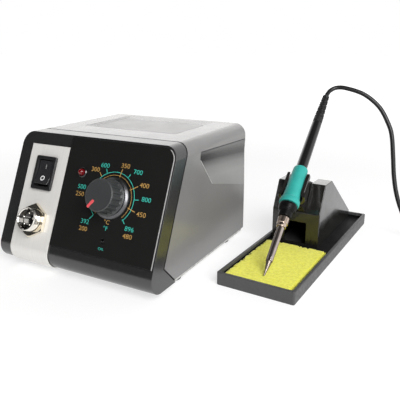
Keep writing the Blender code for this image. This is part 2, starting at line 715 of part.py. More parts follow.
def control_board():
    thick = 1.6
    board = plate("control_board", rounded_rectangle((-18, 2), (66, 76), 2.0, 2),
                  BOARD_N - thick, BOARD_N, BOARD_GREEN, PANEL)
    for index, (x, v) in enumerate(((-14, 6), (62, 6), (-14, 72), (62, 72))):
        cut(board, rod("board_hole_%d" % index, 1.6, -20, 0, 10, None, PANEL,
                       location=(x, v, 0), cutter=True))
    back = BOARD_N - thick - GAP
    fins = [(0, 0), (30, 0), (30, 18)]
    for index in range(5):
        right = 30 - index * 6.0
        fins += [(right - 2, 18), (right - 2, 3)] if index else [(28, 18), (28, 3)]
        fins += [(right - 6, 3), (right - 6, 18)] if index < 4 else []
    fins += [(0, 3)]
    sink = plate("heatsink", fins, 0, 26, ZINC_SHEET, PANEL)
    sink.data.transform(Matrix.Rotation(math.radians(-90), 4, "X"))
    sink.location = Vector((26, 44, back)) * MM
    box("triac", (28, 24, back - 5.0), (38, 39.4, back), BLACK_PLASTIC, PANEL, 0.5)
    turned("filter_capacitor", [(0, 0), (5.6, 0), (6.2, -0.6), (6.2, -21.4), (5.6, -22),
                                (0, -22)], 20, HOUSING_PLASTIC, PANEL, location=(2, 30, back))


# ---------------------------------------------------------------- power supply

def transformer():
    x, y = CORE_AT
    w, d, h = CORE
    low = BASE_TOP + GAP
    core = box("transformer_core", (x - w / 2, y - d / 2, low), (x + w / 2, y + d / 2, low + h),
               LAMINATION, ROOT)
    wide, high = CORE_WINDOW
    mid = low + h / 2
    for side in (-1, 1):
        inner = x + side * CORE_LEG / 2
        outer = inner + side * wide
        cut(core, box("core_window_%s" % "lr"[side > 0], (min(inner, outer), y - d, mid - high / 2),
                      (max(inner, outer), y + d, mid + high / 2), None, ROOT, cutter=True))
    leg = CORE_LEG / 2 + 0.6
    reach = CORE_LEG / 2 + wide - 0.4
    outer = centred_rectangle((0, 0), (2 * reach, d + 2 * wide - 1), 3.0, 2)
    inner = centred_rectangle((0, 0), (2 * leg, d + 1.2), 0.6, 1)
    plate("transformer_coil", outer, mid - high / 2 + 0.4, mid + high / 2 - 0.4, COPPER_WINDING,
          ROOT, holes=(inner,), location=(x, y, 0))
    side = w / 2 + GAP
    top = low + h + GAP
    thick, foot = 1.5, 12.0
    strap = [(side + foot, low), (side + foot, low + thick), (side + thick, low + thick),
             (side + thick, top + thick), (-side - thick, top + thick),
             (-side - thick, low + thick), (-side - foot, low + thick), (-side - foot, low),
             (-side, low), (-side, top), (side, top), (side, low)]
    front_prism("transformer_bracket", strap, y - 10, y + 10, ZINC_SHEET, ROOT,
                location=(x, 0, 0))


def mains_inlet():
    """Appliance inlet with three blades, and a fuse drawer below its recess."""
    x, z = INLET_AT
    w, h = INLET_BODY
    rear = 152.4 + GAP
    at = (x, rear, z)
    inlet = box("mains_inlet", (-w / 2 - 3, 0, -h / 2 - 3), (w / 2 + 3, 2.4, h / 2 + 3),
                BLACK_PLASTIC, ROOT, location=at)
    join(inlet, box("inlet_body", (-w / 2, -INLET_DEPTH, -h / 2), (w / 2, 1, h / 2), None, ROOT,
                    location=at, cutter=True))
    mouth = [(-12, -4), (12, -4), (12, 8), (8.5, 11.8), (-8.5, 11.8), (-12, 8)]
    cut(inlet, front_prism("inlet_recess", mouth, -16.5, 8, None, ROOT, location=at,
                           cutter=True))
    for index, (px, pz) in enumerate(((-7, 2), (0, 6), (7, 2))):
        join(inlet, box("inlet_blade_%d" % index, (px - 1, -20, pz - 2), (px + 1, -2, pz + 2),
                        None, ROOT, location=at, cutter=True))
    dw, dh, dl = DRAWER
    cut(inlet, box("drawer_slot", (-dw / 2 - 0.35, -dl - 0.6, DRAWER_Z - dh / 2 - 0.35),
                   (dw / 2 + 0.35, 8, DRAWER_Z + dh / 2 + 0.35), None, ROOT, location=at,
                   cutter=True))
    drawer = box("fuse_drawer", (-dw / 2, -dl, -dh / 2), (dw / 2, 2.2, dh / 2), BLACK_PLASTIC,
                 ROOT, location=(x, rear, z + DRAWER_Z))
    join(drawer, box("drawer_lip", (-dw / 2, 0, -dh / 2), (dw / 2, 4.2, -dh / 2 + 1.8), None,
                     ROOT, location=(x, rear, z + DRAWER_Z), cutter=True))
    cut(drawer, box("fuse_pocket", (-2.9, -dl + 1.2, -2.9), (2.9, -dl + 22.0, 10), None, ROOT,
                    location=(x, rear, z + DRAWER_Z), cutter=True))
    rod("fuse", 2.5, -dl + 1.6, -dl + 21.6, 12, GLASS, ROOT,
        location=(x, rear, z + DRAWER_Z), rotation=(-math.pi / 2, 0, 0))


# ---------------------------------------------------------------- stand

def stand_tray():
    w, d, h = TRAY
    tray = plate("stand_tray", rounded_rectangle((0, 0), (w, d), 1.6, 2), 0, h, TRAY_GREY, STAND)
    pocket = rounded_rectangle((TRAY_WALL, TRAY_WALL), (w - TRAY_WALL, d - TRAY_WALL), 1.2, 2)
    cut(tray, plate("tray_pocket", pocket, TRAY_FLOOR, h + 5, None, STAND, cutter=True))
    join(tray, box("tray_rib", (1, 86.4, 1), (w - 1, 87.6, 5.0), None, STAND, cutter=True))
    add_bevel(tray, 0.4, 1, 60)


def cleaning_sponge():
    (y0, y1), side = SPONGE_Y, TRAY_WALL + 0.9
    outline = rounded_rectangle((side, y0), (TRAY[0] - side, y1), 1.5, 2)
    plate("sponge", outline, TRAY_FLOOR + GAP, SPONGE_TOP, SPONGE_YELLOW, STAND)


def block_outline(inset, low):
    (y0, y1), (t0, t1) = BLOCK_Y, BLOCK_TOP_Y
    return [(y0 + inset, low), (y0 + inset, BLOCK_KNEE - inset * 0.2),
            (t0 + inset * 0.7, BLOCK_TOP - inset), (t1 - inset * 0.6, BLOCK_TOP - inset),
            (y1 - inset, BLOCK_TAIL_Z - inset * 0.7), (y1 - inset, low)]


def holder_block():
    """Cast holder: a foot plate in the tray, and two cheeks with a notch between them."""
    (x0, x1), (y0, y1) = BLOCK_X, BLOCK_Y
    low = TRAY_FLOOR + GAP
    block = side_prism("holder_block", block_outline(0, low + 1.5), x0, x1, GLOSS_BLACK, STAND)
    add_bevel(block, 0.9, 2, 20)
    block.modifiers.new("flat_faces", "TRIANGULATE")
    side = TRAY_WALL + 0.6
    join(block, box("block_foot", (side, 88.0, low), (TRAY[0] - side, TRAY[1] - side, 6.4), None,
                    STAND, cutter=True))
    cut(block, box("holder_notch", (NOTCH_X[0], y0 - 10, NOTCH_FLOOR),
                   (NOTCH_X[1], y1, BLOCK_TOP + 9), None, STAND, cutter=True))
    hollow = block_outline(BLOCK_WALL, -5)
    hollow = [(y, min(z, NOTCH_FLOOR - 5)) for y, z in hollow]
    hollow = hollow[:2] + [(150.0, NOTCH_FLOOR - 5)] + hollow[4:]
    cut(block, side_prism("holder_hollow", hollow, x0 + BLOCK_WALL, x1 - BLOCK_WALL, None, STAND,
                          cutter=True))
    cut(block, box("holder_mouth", (MOUTH_X[0], y0 - 9, 7.0), (MOUTH_X[1], y0 + 9, MOUTH_TOP),
                   None, STAND, cutter=True))


def cradle():
    """Open trough that the grip lies in, on a web that stands in the holder's notch."""
    low, high = CRADLE_SPAN
    inner, outer = CRADLE_R
    lip = 1.8
    trough = turned("cradle", [(inner, high), (outer, high), (outer, low + 5),
                               (outer + lip, low), (inner + lip, low), (inner, low + 4)], 32,
                    GLOSS_BLACK, IRON, ring=True)
    cut(trough, box("cradle_opening", (-20, -30, low - 3), (20, -2.2, high + 3), None, IRON,
                    cutter=True))
    middle = (NOTCH_X[0] + NOTCH_X[1]) / 2
    half = (NOTCH_X[1] - NOTCH_X[0]) / 2 - 0.4
    web = [(81.0, 47.2), (92.5, 37.4), (92.5, NOTCH_FLOOR + GAP), (118, NOTCH_FLOOR + GAP),
           (118, 56.0), (103, 62.0), (97.0, 64.0)]
    web_block = side_prism("cradle_web", web, middle - half, middle + half, None, STAND,
                           cutter=True)
    bore = rod("cradle_bore", inner, low - 10, high + 30, 32, None, IRON, cutter=True)
    cut(web_block, bore)
    join(trough, web_block)


# ---------------------------------------------------------------- iron

def iron_parts():
    bit_r, tube_r = 2.3, 2.9
    turned("iron_tip", [(0, 0), (0.45, 0.15), (1.0, 4.5), (2.2, 11.6), (bit_r, 12.2), (bit_r, 40),
                        (1.7, 40), (1.7, 16), (0, 15)][::-1], 20, NICKEL, IRON)
    low, high = BARREL_START, BARREL_END
    turned("barrel_tube", [(2.62, high), (tube_r, high), (tube_r, low + 3), (tube_r - 0.15, low),
                           (2.62, low)], 20, STEEL, IRON, ring=True)
    low, high = NUT_SPAN
    bore = tube_r + 0.3
    nut = turned("barrel_nut", [(bore, high), (4.3, high), (4.5, high - 0.4), (4.5, low + 3.4),
                                (3.9, low + 3.0), (3.9, low + 0.4), (3.5, low), (bore, low)], 24,
                 STEEL, IRON, ring=True)
    for index in range(6):
        angle = math.radians(index * 60)
        cut(nut, box("nut_slot_%d" % index, (4.15, -0.7, low + 4.2), (6, 0.7, high + 1), None,
                     IRON, rotation=(0, 0, angle), cutter=True))
    rod("heater", 1.35, 17.5, 66.0, 12, CERAMIC, IRON)
    low, high = COLLAR_SPAN
    turned("nose_collar", [(3.2, high), (4.9, high), (4.9, high - 1.1), (7.3, high - 1.1),
                           (7.5, high - 3), (6.9, high - 6.5), (5.6, high - 7.4), (5.3, low + 0.5),
                           (4.9, low), (3.2, low)], 28, BLACK_PLASTIC, IRON, ring=True)
    low, high = GRIP_SPAN
    handle_r = 4.7
    bore = handle_r + 0.3
    turned("grip_sleeve", [(bore, high), (5.7, high), (6.2, high - 0.9), (6.3, high - 2.5),
                           (6.6, 92), (6.85, 78), (7.0, 74.5), (7.9, 71.2), (8.2, 69.2),
                           (8.2, 67.4), (7.7, 66.2), (5.2, 66.0), (5.2, 67.1), (bore, 67.1)], 28,
           GRIP_GREEN, IRON, ring=True)
    low, high = HANDLE_SPAN
    turned("handle", [(2.4, high), (3.9, high), (4.3, high - 0.6), (4.4, high - 8),
                      (handle_r, 110), (handle_r, low), (3.2, low), (3.2, 150), (2.4, 153)], 24,
           BLACK_PLASTIC, IRON, ring=True)
    strain_relief()


def strain_relief():
    """Tapered sleeve with ribs, which keeps the cord from kinking at the handle."""
    low, high = RELIEF_SPAN
    ribs = 6
    pitch = (high - low - 6) / ribs
    profile = [(0, high - 1.2), (2.2, high - 1.2), (2.3, high), (2.75, high), (3.0, high - 0.8)]
    for index in range(ribs):
        top = high - 1.2 - index * pitch
        radius = 3.0 + 1.0 * (index + 1) / ribs
        profile += [(radius, top - pitch * 0.55), (radius - 0.6, top - pitch * 0.6),
                    (radius - 0.6, top - pitch * 0.95), (radius, top - pitch)]
    profile += [(4.1, low + 0.4), (3.9, low), (0, low)]
    turned("strain_relief", profile, 14, RUBBER, IRON)


# ---------------------------------------------------------------- cord and plug

def iron_cord():
    cord_tube("iron_cord", CORD_ROUTE, RUBBER, ROOT)
    cord_tube("cord_tail", TAIL_ROUTE, RUBBER, ROOT)
    half = COIL_WIDE * CORD_R + 0.2
    top = COIL_HIGH * 2 * CORD_R + 0.4
    inner, outer = COIL_MEAN_R - half, COIL_MEAN_R + half
    turned("cord_coil", [(inner + 0.8, top), (outer - 1.2, top), (outer, top - 1.2),
                         (outer, 1.3), (outer - 1.2, 0.1), (inner + 0.8, 0.1), (inner, 1.3),
                         (inner, top - 1.2)], 32, RUBBER, ROOT, ring=True,
           location=(*COIL_AT, 0))


def cord_plug():
    """Round plug: strain relief, shell, locking ring and an insert with five sockets."""
    frame = empty("plug_frame", PLUG_AT, (math.pi / 2, 0, 0), ROOT)
    turned("plug_relief", [(0, 20), (6.2, 20), (6.4, 19), (4.2, 12), (3.4, 2), (3.2, 0), (2.3, 0),
                           (2.3, 1.2), (0, 1.2)], 16, RUBBER, frame)
    turned("plug_shell", [(0, 24), (7.6, 24), (7.6, 46), (8.4, 46), (8.6, 45.6), (8.6, 33),
                          (10.6, 33), (10.8, 32.5), (10.8, 23), (9.4, 20.3), (0, 20.3)], 24,
           NICKEL, frame)
    ring = turned("plug_ring", [(8.95, 45), (10.6, 45), (11.0, 44.5), (11.0, 34),
                                (10.6, 33.4), (8.95, 33.4)], 24, NICKEL, frame, ring=True)
    for index in range(12):
        cut(ring, box("ring_groove_%d" % index, (10.6, -0.5, 35.5), (13, 0.5, 43.5), None, frame,
                      rotation=(0, 0, math.radians(index * 30)), cutter=True))
    insert = turned("plug_insert", [(0, 43), (7.0, 43), (7.25, 42.6), (7.25, 26), (0, 26)], 20,
                    BLACK_PLASTIC, frame)
    for index in range(5):
        angle = math.radians(90 + index * 72)
        cut(insert, rod("plug_contact_%d" % index, 1.1, 36, 50, 8, None, frame,
                        location=(PIN_CIRCLE * math.cos(angle), PIN_CIRCLE * math.sin(angle), 0),
                        cutter=True))


def main():
    housing_cover()
    front_bezel()
    connector_strip()
    panel_overlay()
    base_plate()
    rear_panel()
    rear_screws()
    rubber_feet()
    power_switch()
    iron_socket()
    power_lamp()
    fluted_knob()
    potentiometer()
    calibration_trimmer()
    control_board()
    transformer()
    mains_inlet()
    stand_tray()
    cleaning_sponge()
    holder_block()
    cradle()
    iron_parts()
    iron_cord()
    cord_plug()
    bpy.context.view_layer.update()


main()
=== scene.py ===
"""Looks of the soldering iron station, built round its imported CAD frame.

Lengths are millimetres unless a comment says otherwise, and MM turns them into metres. Four frames
carry the pieces: STATION at the foot of the sloping panel (X right, Y rear, Z up), PANEL on the
panel's face (x along it, y up the slope, z out of it), STAND at the tray's front left corner, and
IRON at the iron's tip, with z along its axis.
"""
import json
import math

import bmesh
import bpy
from mathutils import Matrix, Vector, noise


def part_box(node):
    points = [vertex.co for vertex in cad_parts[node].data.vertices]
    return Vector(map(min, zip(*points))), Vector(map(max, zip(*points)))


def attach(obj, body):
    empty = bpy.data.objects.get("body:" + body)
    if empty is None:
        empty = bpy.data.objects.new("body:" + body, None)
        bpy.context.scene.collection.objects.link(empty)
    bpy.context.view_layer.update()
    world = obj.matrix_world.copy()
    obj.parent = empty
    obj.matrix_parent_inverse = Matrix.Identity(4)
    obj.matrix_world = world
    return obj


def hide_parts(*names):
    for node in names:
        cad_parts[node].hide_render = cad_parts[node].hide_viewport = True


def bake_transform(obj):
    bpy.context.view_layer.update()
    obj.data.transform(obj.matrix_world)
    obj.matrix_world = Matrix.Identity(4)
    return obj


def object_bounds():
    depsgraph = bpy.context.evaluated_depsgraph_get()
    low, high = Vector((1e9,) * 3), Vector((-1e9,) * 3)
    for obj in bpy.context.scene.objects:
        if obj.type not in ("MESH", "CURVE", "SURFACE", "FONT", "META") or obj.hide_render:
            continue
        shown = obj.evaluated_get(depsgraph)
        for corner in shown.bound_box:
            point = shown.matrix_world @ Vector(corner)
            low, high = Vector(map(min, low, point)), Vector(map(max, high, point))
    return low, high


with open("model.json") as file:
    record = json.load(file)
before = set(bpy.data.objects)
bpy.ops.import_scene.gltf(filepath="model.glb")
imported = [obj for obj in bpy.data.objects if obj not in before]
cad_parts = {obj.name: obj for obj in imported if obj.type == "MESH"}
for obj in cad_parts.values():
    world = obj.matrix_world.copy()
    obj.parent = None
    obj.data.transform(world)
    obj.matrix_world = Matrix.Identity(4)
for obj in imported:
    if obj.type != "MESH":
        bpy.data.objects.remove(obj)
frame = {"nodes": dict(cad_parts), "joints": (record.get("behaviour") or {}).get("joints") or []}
CAD_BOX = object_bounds()

MM = 0.001
FIXED = "station_and_stand"     # the body that doesn't move

# Station housing
STATION_W, STATION_H, STATION_REAR = 150.0, 106.6, 153.0
COVER_WALL, COVER_RADIUS, COVER_BOTTOM = 2.5, 10.0, 7.3
PANEL_FOOT_Z, PANEL_RUN = 26.8, 36.85
BEZEL_DEPTH, BEZEL_WALL, BEZEL_BOTTOM, NOSE_RADIUS = 13.2, 3.0, 5.0, 12.0
SEAM_KNEE_Z, SEAM_FOOT_Y, SEAM_GAP = 22.0, 28.4, 1.5

# Side hollow: its lines from top to bottom, each from (y, z) to (y, z), and their depth at the tip
SCOOP_ROWS = (
    ((68.9, 96.8), (158, 93.1), -0.05), ((68.6, 95.0), (158, 90.2), 0.35),
    ((68.3, 93.0), (158, 86.8), 0.9), ((68.0, 91.0), (158, 83.0), 1.7),
    ((76.0, 81.2), (158, 70.5), 0.9), ((88.0, 66.6), (158, 49.0), -0.05),
)

# Front panel: places are (x, y) on the panel
STRIP_X, STRIP_TOP, STRIP_N = (-62.2, -22.1), 78.0, (0.3, 1.1)
OVERLAY_X, OVERLAY_Y, OVERLAY_N = (-21.5, 74.0), (-0.5, 86.2), (0.3, 1.3)
SWITCH_AT, SWITCH_FRAME, SWITCH_POCKET = (-41.8, 54.3), (21.0, 27.6), (15.4, 21.6)
ROCKER, ROCKER_TILT = (14.4, 19.6), 8.0
SOCKET_AT, SOCKET_R, SOCKET_TOP, NUT_FLATS, PIN_CIRCLE = (-42.2, 15.6), 9.2, 10.8, 24.0, 5.0
DIAL_AT, DIAL_START, DIAL_END = (28.1, 43.8), 227.5, -46.3
KNOB_R, KNOB_BOTTOM, KNOB_TOP, POINTER_AT = 12.6, 4.8, 17.4, 233.0
LED_AT, CAL_AT = (-3.8, 59.6), (27.8, 11.4)
SOCKET_HOLE_R, SHAFT_HOLE_R, LED_HOLE_R, FILM_CORNER = SOCKET_R + 0.35, 4.9, 3.5, 9.0

# Stand
TRAY, TRAY_YAW, TRAY_WALL, TRAY_FLOOR = (63.0, 193.0, 10.5), -3.0, 2.4, 2.0
SPONGE_Y, SPONGE_TOP = (3.3, 86.0), 8.8
BLOCK_X, BLOCK_Y, BLOCK_KNEE, BLOCK_TOP = (4.5, 47.5), (93.0, 188.0), 36.0, 60.0
BLOCK_TOP_Y, BLOCK_TAIL_Z, BLOCK_LOW = (104.0, 122.0), 14.0, TRAY_FLOOR + 0.3
NOTCH_X, NOTCH_FLOOR = (17.4, 34.6), 40.0
MOUTH_X, MOUTH_TOP = (16.0, 36.0), 27.0

# Iron cord. Its route's points are in metres, in the row frame.
CORD_D = 0.004
TURN_RADII = (26.0, 22.0, 18.0)
TURN_HEIGHTS = (2.1, 6.1)
CORD_ROUTE = (
    (0.08149, 0.09586, 0.1278), (0.08199, 0.09896, 0.1302), (0.08359, 0.10276, 0.1329),
    (0.08829, 0.10616, 0.1352), (0.09689, 0.10736, 0.1349), (0.11339, 0.10896, 0.1298),
    (0.12789, 0.10996, 0.1187), (0.13759, 0.10896, 0.1039), (0.14199, 0.10696, 0.0930),
    (0.14559, 0.10396, 0.0740), (0.14839, 0.10146, 0.0580), (0.15239, 0.09896, 0.0430),
    (0.15839, 0.09746, 0.0280), (0.16689, 0.09676, 0.0130), (0.17739, 0.09676, 0.0046),
    (0.18839, 0.09696, 0.0023), (0.19589, 0.09696, 0.0022),
)
TAIL_ROUTE = (
    (0.23939, 0.05376, 0.0068), (0.23949, 0.04846, 0.0076), (0.23999, 0.04296, 0.0094),
    (0.24039, 0.03796, 0.0110), (0.24039, 0.03336, 0.0114),
)

PANEL_RISE = STATION_H - PANEL_FOOT_Z
PANEL_ANGLE = math.atan2(PANEL_RISE, PANEL_RUN)


# ---- frames

def joint(name):
    return next(j for j in frame["joints"] if j["name"] == name)


def station_frame():
    low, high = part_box("housing_cover")
    return Matrix.Translation(((low.x + high.x) / 2, high.y - STATION_REAR * MM, 0))


def stand_frame():
    low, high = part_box("stand_tray")
    middle = Matrix.Translation(((low.x + high.x) / 2, (low.y + high.y) / 2, 0))
    corner = Matrix.Translation((-TRAY[0] / 2 * MM, -TRAY[1] / 2 * MM, 0))
    return middle @ Matrix.Rotation(math.radians(TRAY_YAW), 4, "Z") @ corner


def iron_frame():
    """At the tip: z up the iron's axis, and -y the way it lifts out of its cradle."""
    along = Vector(joint("nut_turn")["axis"]).normalized()
    down = -Vector(joint("iron_lift")["axis"]).normalized()
    side = down.cross(along)
    turn = Matrix((side, down, along)).transposed().to_4x4()
    return Matrix.Translation(joint("nut_turn")["pos_m"]) @ turn


def plug_frame():
    low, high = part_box("plug_relief")
    rear = Matrix.Translation(((low.x + high.x) / 2, high.y, (low.z + high.z) / 2))
    return rear @ Matrix.Rotation(math.pi / 2, 4, "X")


STATION = station_frame()
PANEL = (STATION @ Matrix.Translation((0, 0, PANEL_FOOT_Z * MM))
         @ Matrix.Rotation(PANEL_ANGLE, 4, "X"))
STAND = stand_frame()
IRON = iron_frame()
PLUG = plug_frame()


def shifted(base, x=0.0, y=0.0, z=0.0, turn=0.0, axis="Z"):
    """The frame moved by x, y, z millimetres, then turned by degrees."""
    move = Matrix.Translation(Vector((x, y, z)) * MM)
    return base @ move @ Matrix.Rotation(math.radians(turn), 4, axis)


# ---- camera and light

def make_camera():
    """At the photograph's angle: yaw 28.7 degrees to the left, 17.8 degrees down."""
    data = bpy.data.cameras.new("camera")
    data.lens, data.sensor_width = 44.43, 36.0
    camera = bpy.data.objects.new("camera", data)
    yaw, pitch, roll = (math.radians(a) for a in (28.741, 17.779, -0.199))
    turn = Matrix.Rotation(yaw, 4, "Z") @ Matrix.Rotation(math.pi / 2 - pitch, 4, "X")
    place = Matrix.Translation((0.20348, -0.37289, 0.17693))
    camera.matrix_world = place @ turn @ Matrix.Rotation(roll, 4, "Z")
    bpy.context.scene.collection.objects.link(camera)
    bpy.context.scene.camera = camera


def softbox(name, centre, size, power, colour=(1, 1, 1)):
    """A rectangle of light that faces the station."""
    data = bpy.data.lights.new(name, "AREA")
    data.shape = "RECTANGLE"
    data.size, data.size_y = size
    data.energy, data.color = power, colour
    lamp = bpy.data.objects.new(name, data)
    aim = (Vector((0, 0, 0.05)) - Vector(centre)).to_track_quat("-Z", "Y")
    lamp.matrix_world = Matrix.Translation(centre) @ aim.to_matrix().to_4x4()
    bpy.context.scene.collection.objects.link(lamp)


def add_node(tree, kind, inputs=None, **settings):
    """A shader node. Each input gets its value, or the socket that feeds it."""
    node = tree.nodes.new("ShaderNode" + kind)
    for key, value in settings.items():
        setattr(node, key, value)
    for key, value in (inputs or {}).items():
        if isinstance(value, bpy.types.NodeSocket):
            tree.links.new(value, node.inputs[key])
        else:
            node.inputs[key].default_value = value
    return node


def map_range(tree, value, start, end, low=0.0, high=1.0):
    """A value's span from start to end, turned into low to high."""
    inputs = {"Value": value, "From Min": start, "From Max": end, "To Min": low, "To Max": high}
    return add_node(tree, "MapRange", inputs).outputs[0]


def make_world():
    """White room that is dark overhead, and in front where the panel faces."""
    bpy.context.scene.view_settings.view_transform = "Standard"
    world = bpy.data.worlds.new("studio")
    bpy.context.scene.world = world
    world.use_nodes = True
    tree = world.node_tree
    towards = add_node(tree, "TexCoord").outputs["Generated"]
    front = Vector((-0.36, -0.92, 0.16)).normalized()
    facing = add_node(tree, "VectorMath", {0: towards, 1: front}, operation="DOT_PRODUCT")
    ramp = add_node(tree, "ValToRGB", {0: facing.outputs["Value"]})
    light, dark = ramp.color_ramp.elements
    light.position, light.color = 0.1, (1, 1, 1, 1)
    dark.position, dark.color = 0.6, (0.045, 0.045, 0.047, 1)
    height = add_node(tree, "SeparateXYZ", {0: towards}).outputs["Z"]
    background = tree.nodes["Background"].inputs
    tree.links.new(ramp.outputs[0], background[0])
    tree.links.new(map_range(tree, height, 0.6, 0.85, 1.0, 0.12), background[1])


def make_studio():
    """Two lights, and a floor whose glow rises with distance until it is as white as the room."""
    make_world()
    softbox("rear_softbox", (-0.80, 1.42, 0.62), (2.6, 0.95), 7.2, (1, 0.985, 0.97))
    softbox("front_softbox", (0.80, -0.72, 0.76), (0.8, 0.8), 19)
    bpy.ops.mesh.primitive_plane_add(size=12.0)
    floor = bpy.context.object
    floor.name = "floor"
    floor.location.z = CAD_BOX[0].z - 0.0001
    paper = plain("floor_paper", (0.42, 0.42, 0.42), 0.9,
                  {"Emission Color": (1, 1, 1, 1), "Specular IOR Level": 0.0})
    tree = paper.node_tree
    place = add_node(tree, "TexCoord").outputs["Object"]
    distance = add_node(tree, "VectorMath", {0: place}, operation="LENGTH").outputs["Value"]
    glow = map_range(tree, distance, 0.35, 1.3, 0.62, 1.0)
    tree.links.new(glow, tree.nodes["Principled BSDF"].inputs["Emission Strength"])
    floor.data.materials.append(paper)


# ---- materials

MATERIALS = {}


def plain(name, colour, roughness, levels):
    mat = MATERIALS[name] = bpy.data.materials.new(name)
    mat.use_nodes = True
    shader = mat.node_tree.nodes["Principled BSDF"]
    for key, value in {"Base Color": (*colour, 1), "Roughness": roughness, **levels}.items():
        shader.inputs[key].default_value = value
    return mat


class Finish:
    """A Principled material, with procedural layers added in object space."""

    def __init__(self, name, colour, roughness, metallic=0.0, coat=0.0, specular=0.5, levels=None):
        self.colour = colour
        self.tree = plain(name, colour, roughness, {
            "Metallic": metallic, "Coat Weight": coat, "Coat Roughness": 0.06,
            "Specular IOR Level": specular, **(levels or {})}).node_tree
        self.coords = add_node(self.tree, "TexCoord").outputs["Object"]
        self.relief = {}

    def feed(self, source, key):
        self.tree.links.new(source, self.tree.nodes["Principled BSDF"].inputs[key])
        return self

    def stretched(self, scale):
        """Object coordinates stretched along each axis."""
        inputs = {"Scale": scale, "Vector": self.coords}
        return add_node(self.tree, "Mapping", inputs).outputs[0]

    def noise(self, scale, detail=3.0, coords=None):
        inputs = {"Scale": scale, "Detail": detail, "Vector": coords or self.coords}
        return add_node(self.tree, "TexNoise", inputs).outputs["Fac"]

    def cells(self, scale):
        inputs = {"Scale": scale, "Vector": self.coords}
        return add_node(self.tree, "TexVoronoi", inputs).outputs["Distance"]

    def bands(self, scale, direction, distortion=0.0):
        inputs = {"Scale": scale, "Distortion": distortion, "Vector": self.coords}
        return add_node(self.tree, "TexWave", inputs, bands_direction=direction).outputs["Fac"]

    def across(self, direction, start, end):
        """0 to 1 between two places along a direction, in metres."""
        inputs = {0: self.coords, 1: direction}
        dot = add_node(self.tree, "VectorMath", inputs, operation="DOT_PRODUCT")
        return map_range(self.tree, dot.outputs["Value"], start, end)

    def tint(self, value, stops):
        """Base colour through the stops (value, colour)."""
        node = add_node(self.tree, "ValToRGB", {0: value})
        elements = node.color_ramp.elements
        while len(elements) < len(stops):
            elements.new(0.5)
        for element, (position, colour) in zip(elements, stops):
            element.position, element.color = position, (*colour, 1)
        return self.feed(node.outputs[0], "Base Color")

    def vary(self, value, amount, span=(0.3, 0.7)):
        """Base colour a little darker and lighter with a value."""
        low = tuple(c * (1 - amount) for c in self.colour)
        high = tuple(min(1, c * (1 + amount)) for c in self.colour)
        return self.tint(value, [(span[0], low), (span[1], high)])

    def gloss(self, value, low, high):
        """Roughness from low to high with a value."""
        return self.feed(map_range(self.tree, value, 0.3, 0.7, low, high), "Roughness")

    def bump(self, value, depth, strength=1.0):
        """Relief of that depth in millimetres, on top of any before it."""
        inputs = {"Distance": depth * MM, "Strength": strength, "Height": value, **self.relief}
        self.relief = {"Normal": add_node(self.tree, "Bump", inputs).outputs[0]}
        return self.feed(self.relief["Normal"], "Normal")


def layered(name, colour, roughness, mottle, gloss, grain, pores=None, **levels):
    """Colour, gloss and relief that each follow a noise (scale, detail, amounts)."""
    f = Finish(name, colour, roughness, **levels)
    f.vary(f.noise(*mottle[:2]), mottle[2])
    f.gloss(f.noise(*gloss[:2]), *gloss[2:])
    if pores:
        f.bump(f.cells(pores[0]), pores[1])
    f.bump(f.noise(*grain[:2]), grain[2])


def moulded(name, colour, roughness, grain=2500, depth=0.004, specular=0.5, coat=0.0):
    """Moulded plastic: fine grain, and gloss that varies slowly where hands have been."""
    layered(name, colour, roughness, (35, 3, 0.03),
            (60, 3, roughness * 0.93, roughness * 1.08), (grain, 2, depth),
            specular=specular, coat=coat)


def plated(name, colour, roughness):
    """Plated or turned metal with fine scratches and a slight tarnish."""
    f = Finish(name, colour, roughness, metallic=1.0)
    f.vary(f.noise(160, 4), 0.12)
    f.gloss(f.noise(1, 4, f.stretched((500, 500, 120))), roughness * 0.8, roughness * 1.3)
    f.bump(f.noise(1, 2, f.stretched((2600, 2600, 500))), 0.0012)


def ramp_painted_shade():
    """Painted shade and light for the hollow's insert: dark along the deepest line and lighter down
    the ramp, though the real plastic there is one grey.
    """
    f = Finish("ramp", (0.15, 0.147, 0.146), 0.26)
    (y0, z0), (y1, z1), _ = SCOOP_ROWS[3]
    slope = (z0 - z1) / (y1 - y0)
    middle = z0 + slope * (y0 + STATION.translation.y / MM)
    below, above = 32, 10
    height = f.across((0, slope, 1), (middle - below) * MM, (middle + above) * MM)
    # Painted shade and light: greys from the dark band under the crease down to the lighter foot of
    # the ramp.
    painted_shade_greys = [(-32, 0.215), (-16, 0.215), (-8.5, 0.15), (-3.8, 0.07), (-1.4, 0.013), (0.6, 0.012),
             (3.2, 0.035), (6.2, 0.085), (10, 0.10)]
    f.tint(height, [((place + below) / (below + above), (grey,) * 3) for place, grey in painted_shade_greys])
    f.bump(f.noise(1800, 2), 0.0015)


def brushed_sheet():
    f = Finish("silver", (0.74, 0.725, 0.695), 0.42, metallic=0.2)
    f.vary(f.noise(1, 3, f.stretched((1500, 30, 30))), 0.035)
    f.gloss(f.noise(60, 4), 0.36, 0.5)
    f.bump(f.noise(1, 2, f.stretched((3500, 80, 80))), 0.002)


def zinc_sheet():
    f = Finish("zinc", (0.55, 0.55, 0.53), 0.4, metallic=0.9)
    f.vary(f.cells(220), 0.18, (0.1, 0.8))
    f.gloss(f.cells(160), 0.3, 0.5)
    f.bump(f.noise(700, 3), 0.01)


def sponge_cellulose():
    """Compressed cellulose: clear yellow, with small pores and a faint mottle."""
    f = Finish("sponge", (0.80, 0.77, 0.075), 0.92, levels={
        "Sheen Weight": 0.25, "Sheen Roughness": 0.5, "Subsurface Weight": 0.12,
        "Subsurface Radius": (0.002, 0.0018, 0.0004)})
    f.tint(f.noise(500, 4), [(0.35, (0.72, 0.695, 0.05)), (0.65, (0.86, 0.84, 0.085))])
    f.bump(f.cells(900), 0.25, 0.8)
    f.bump(f.noise(2400, 4), 0.1)


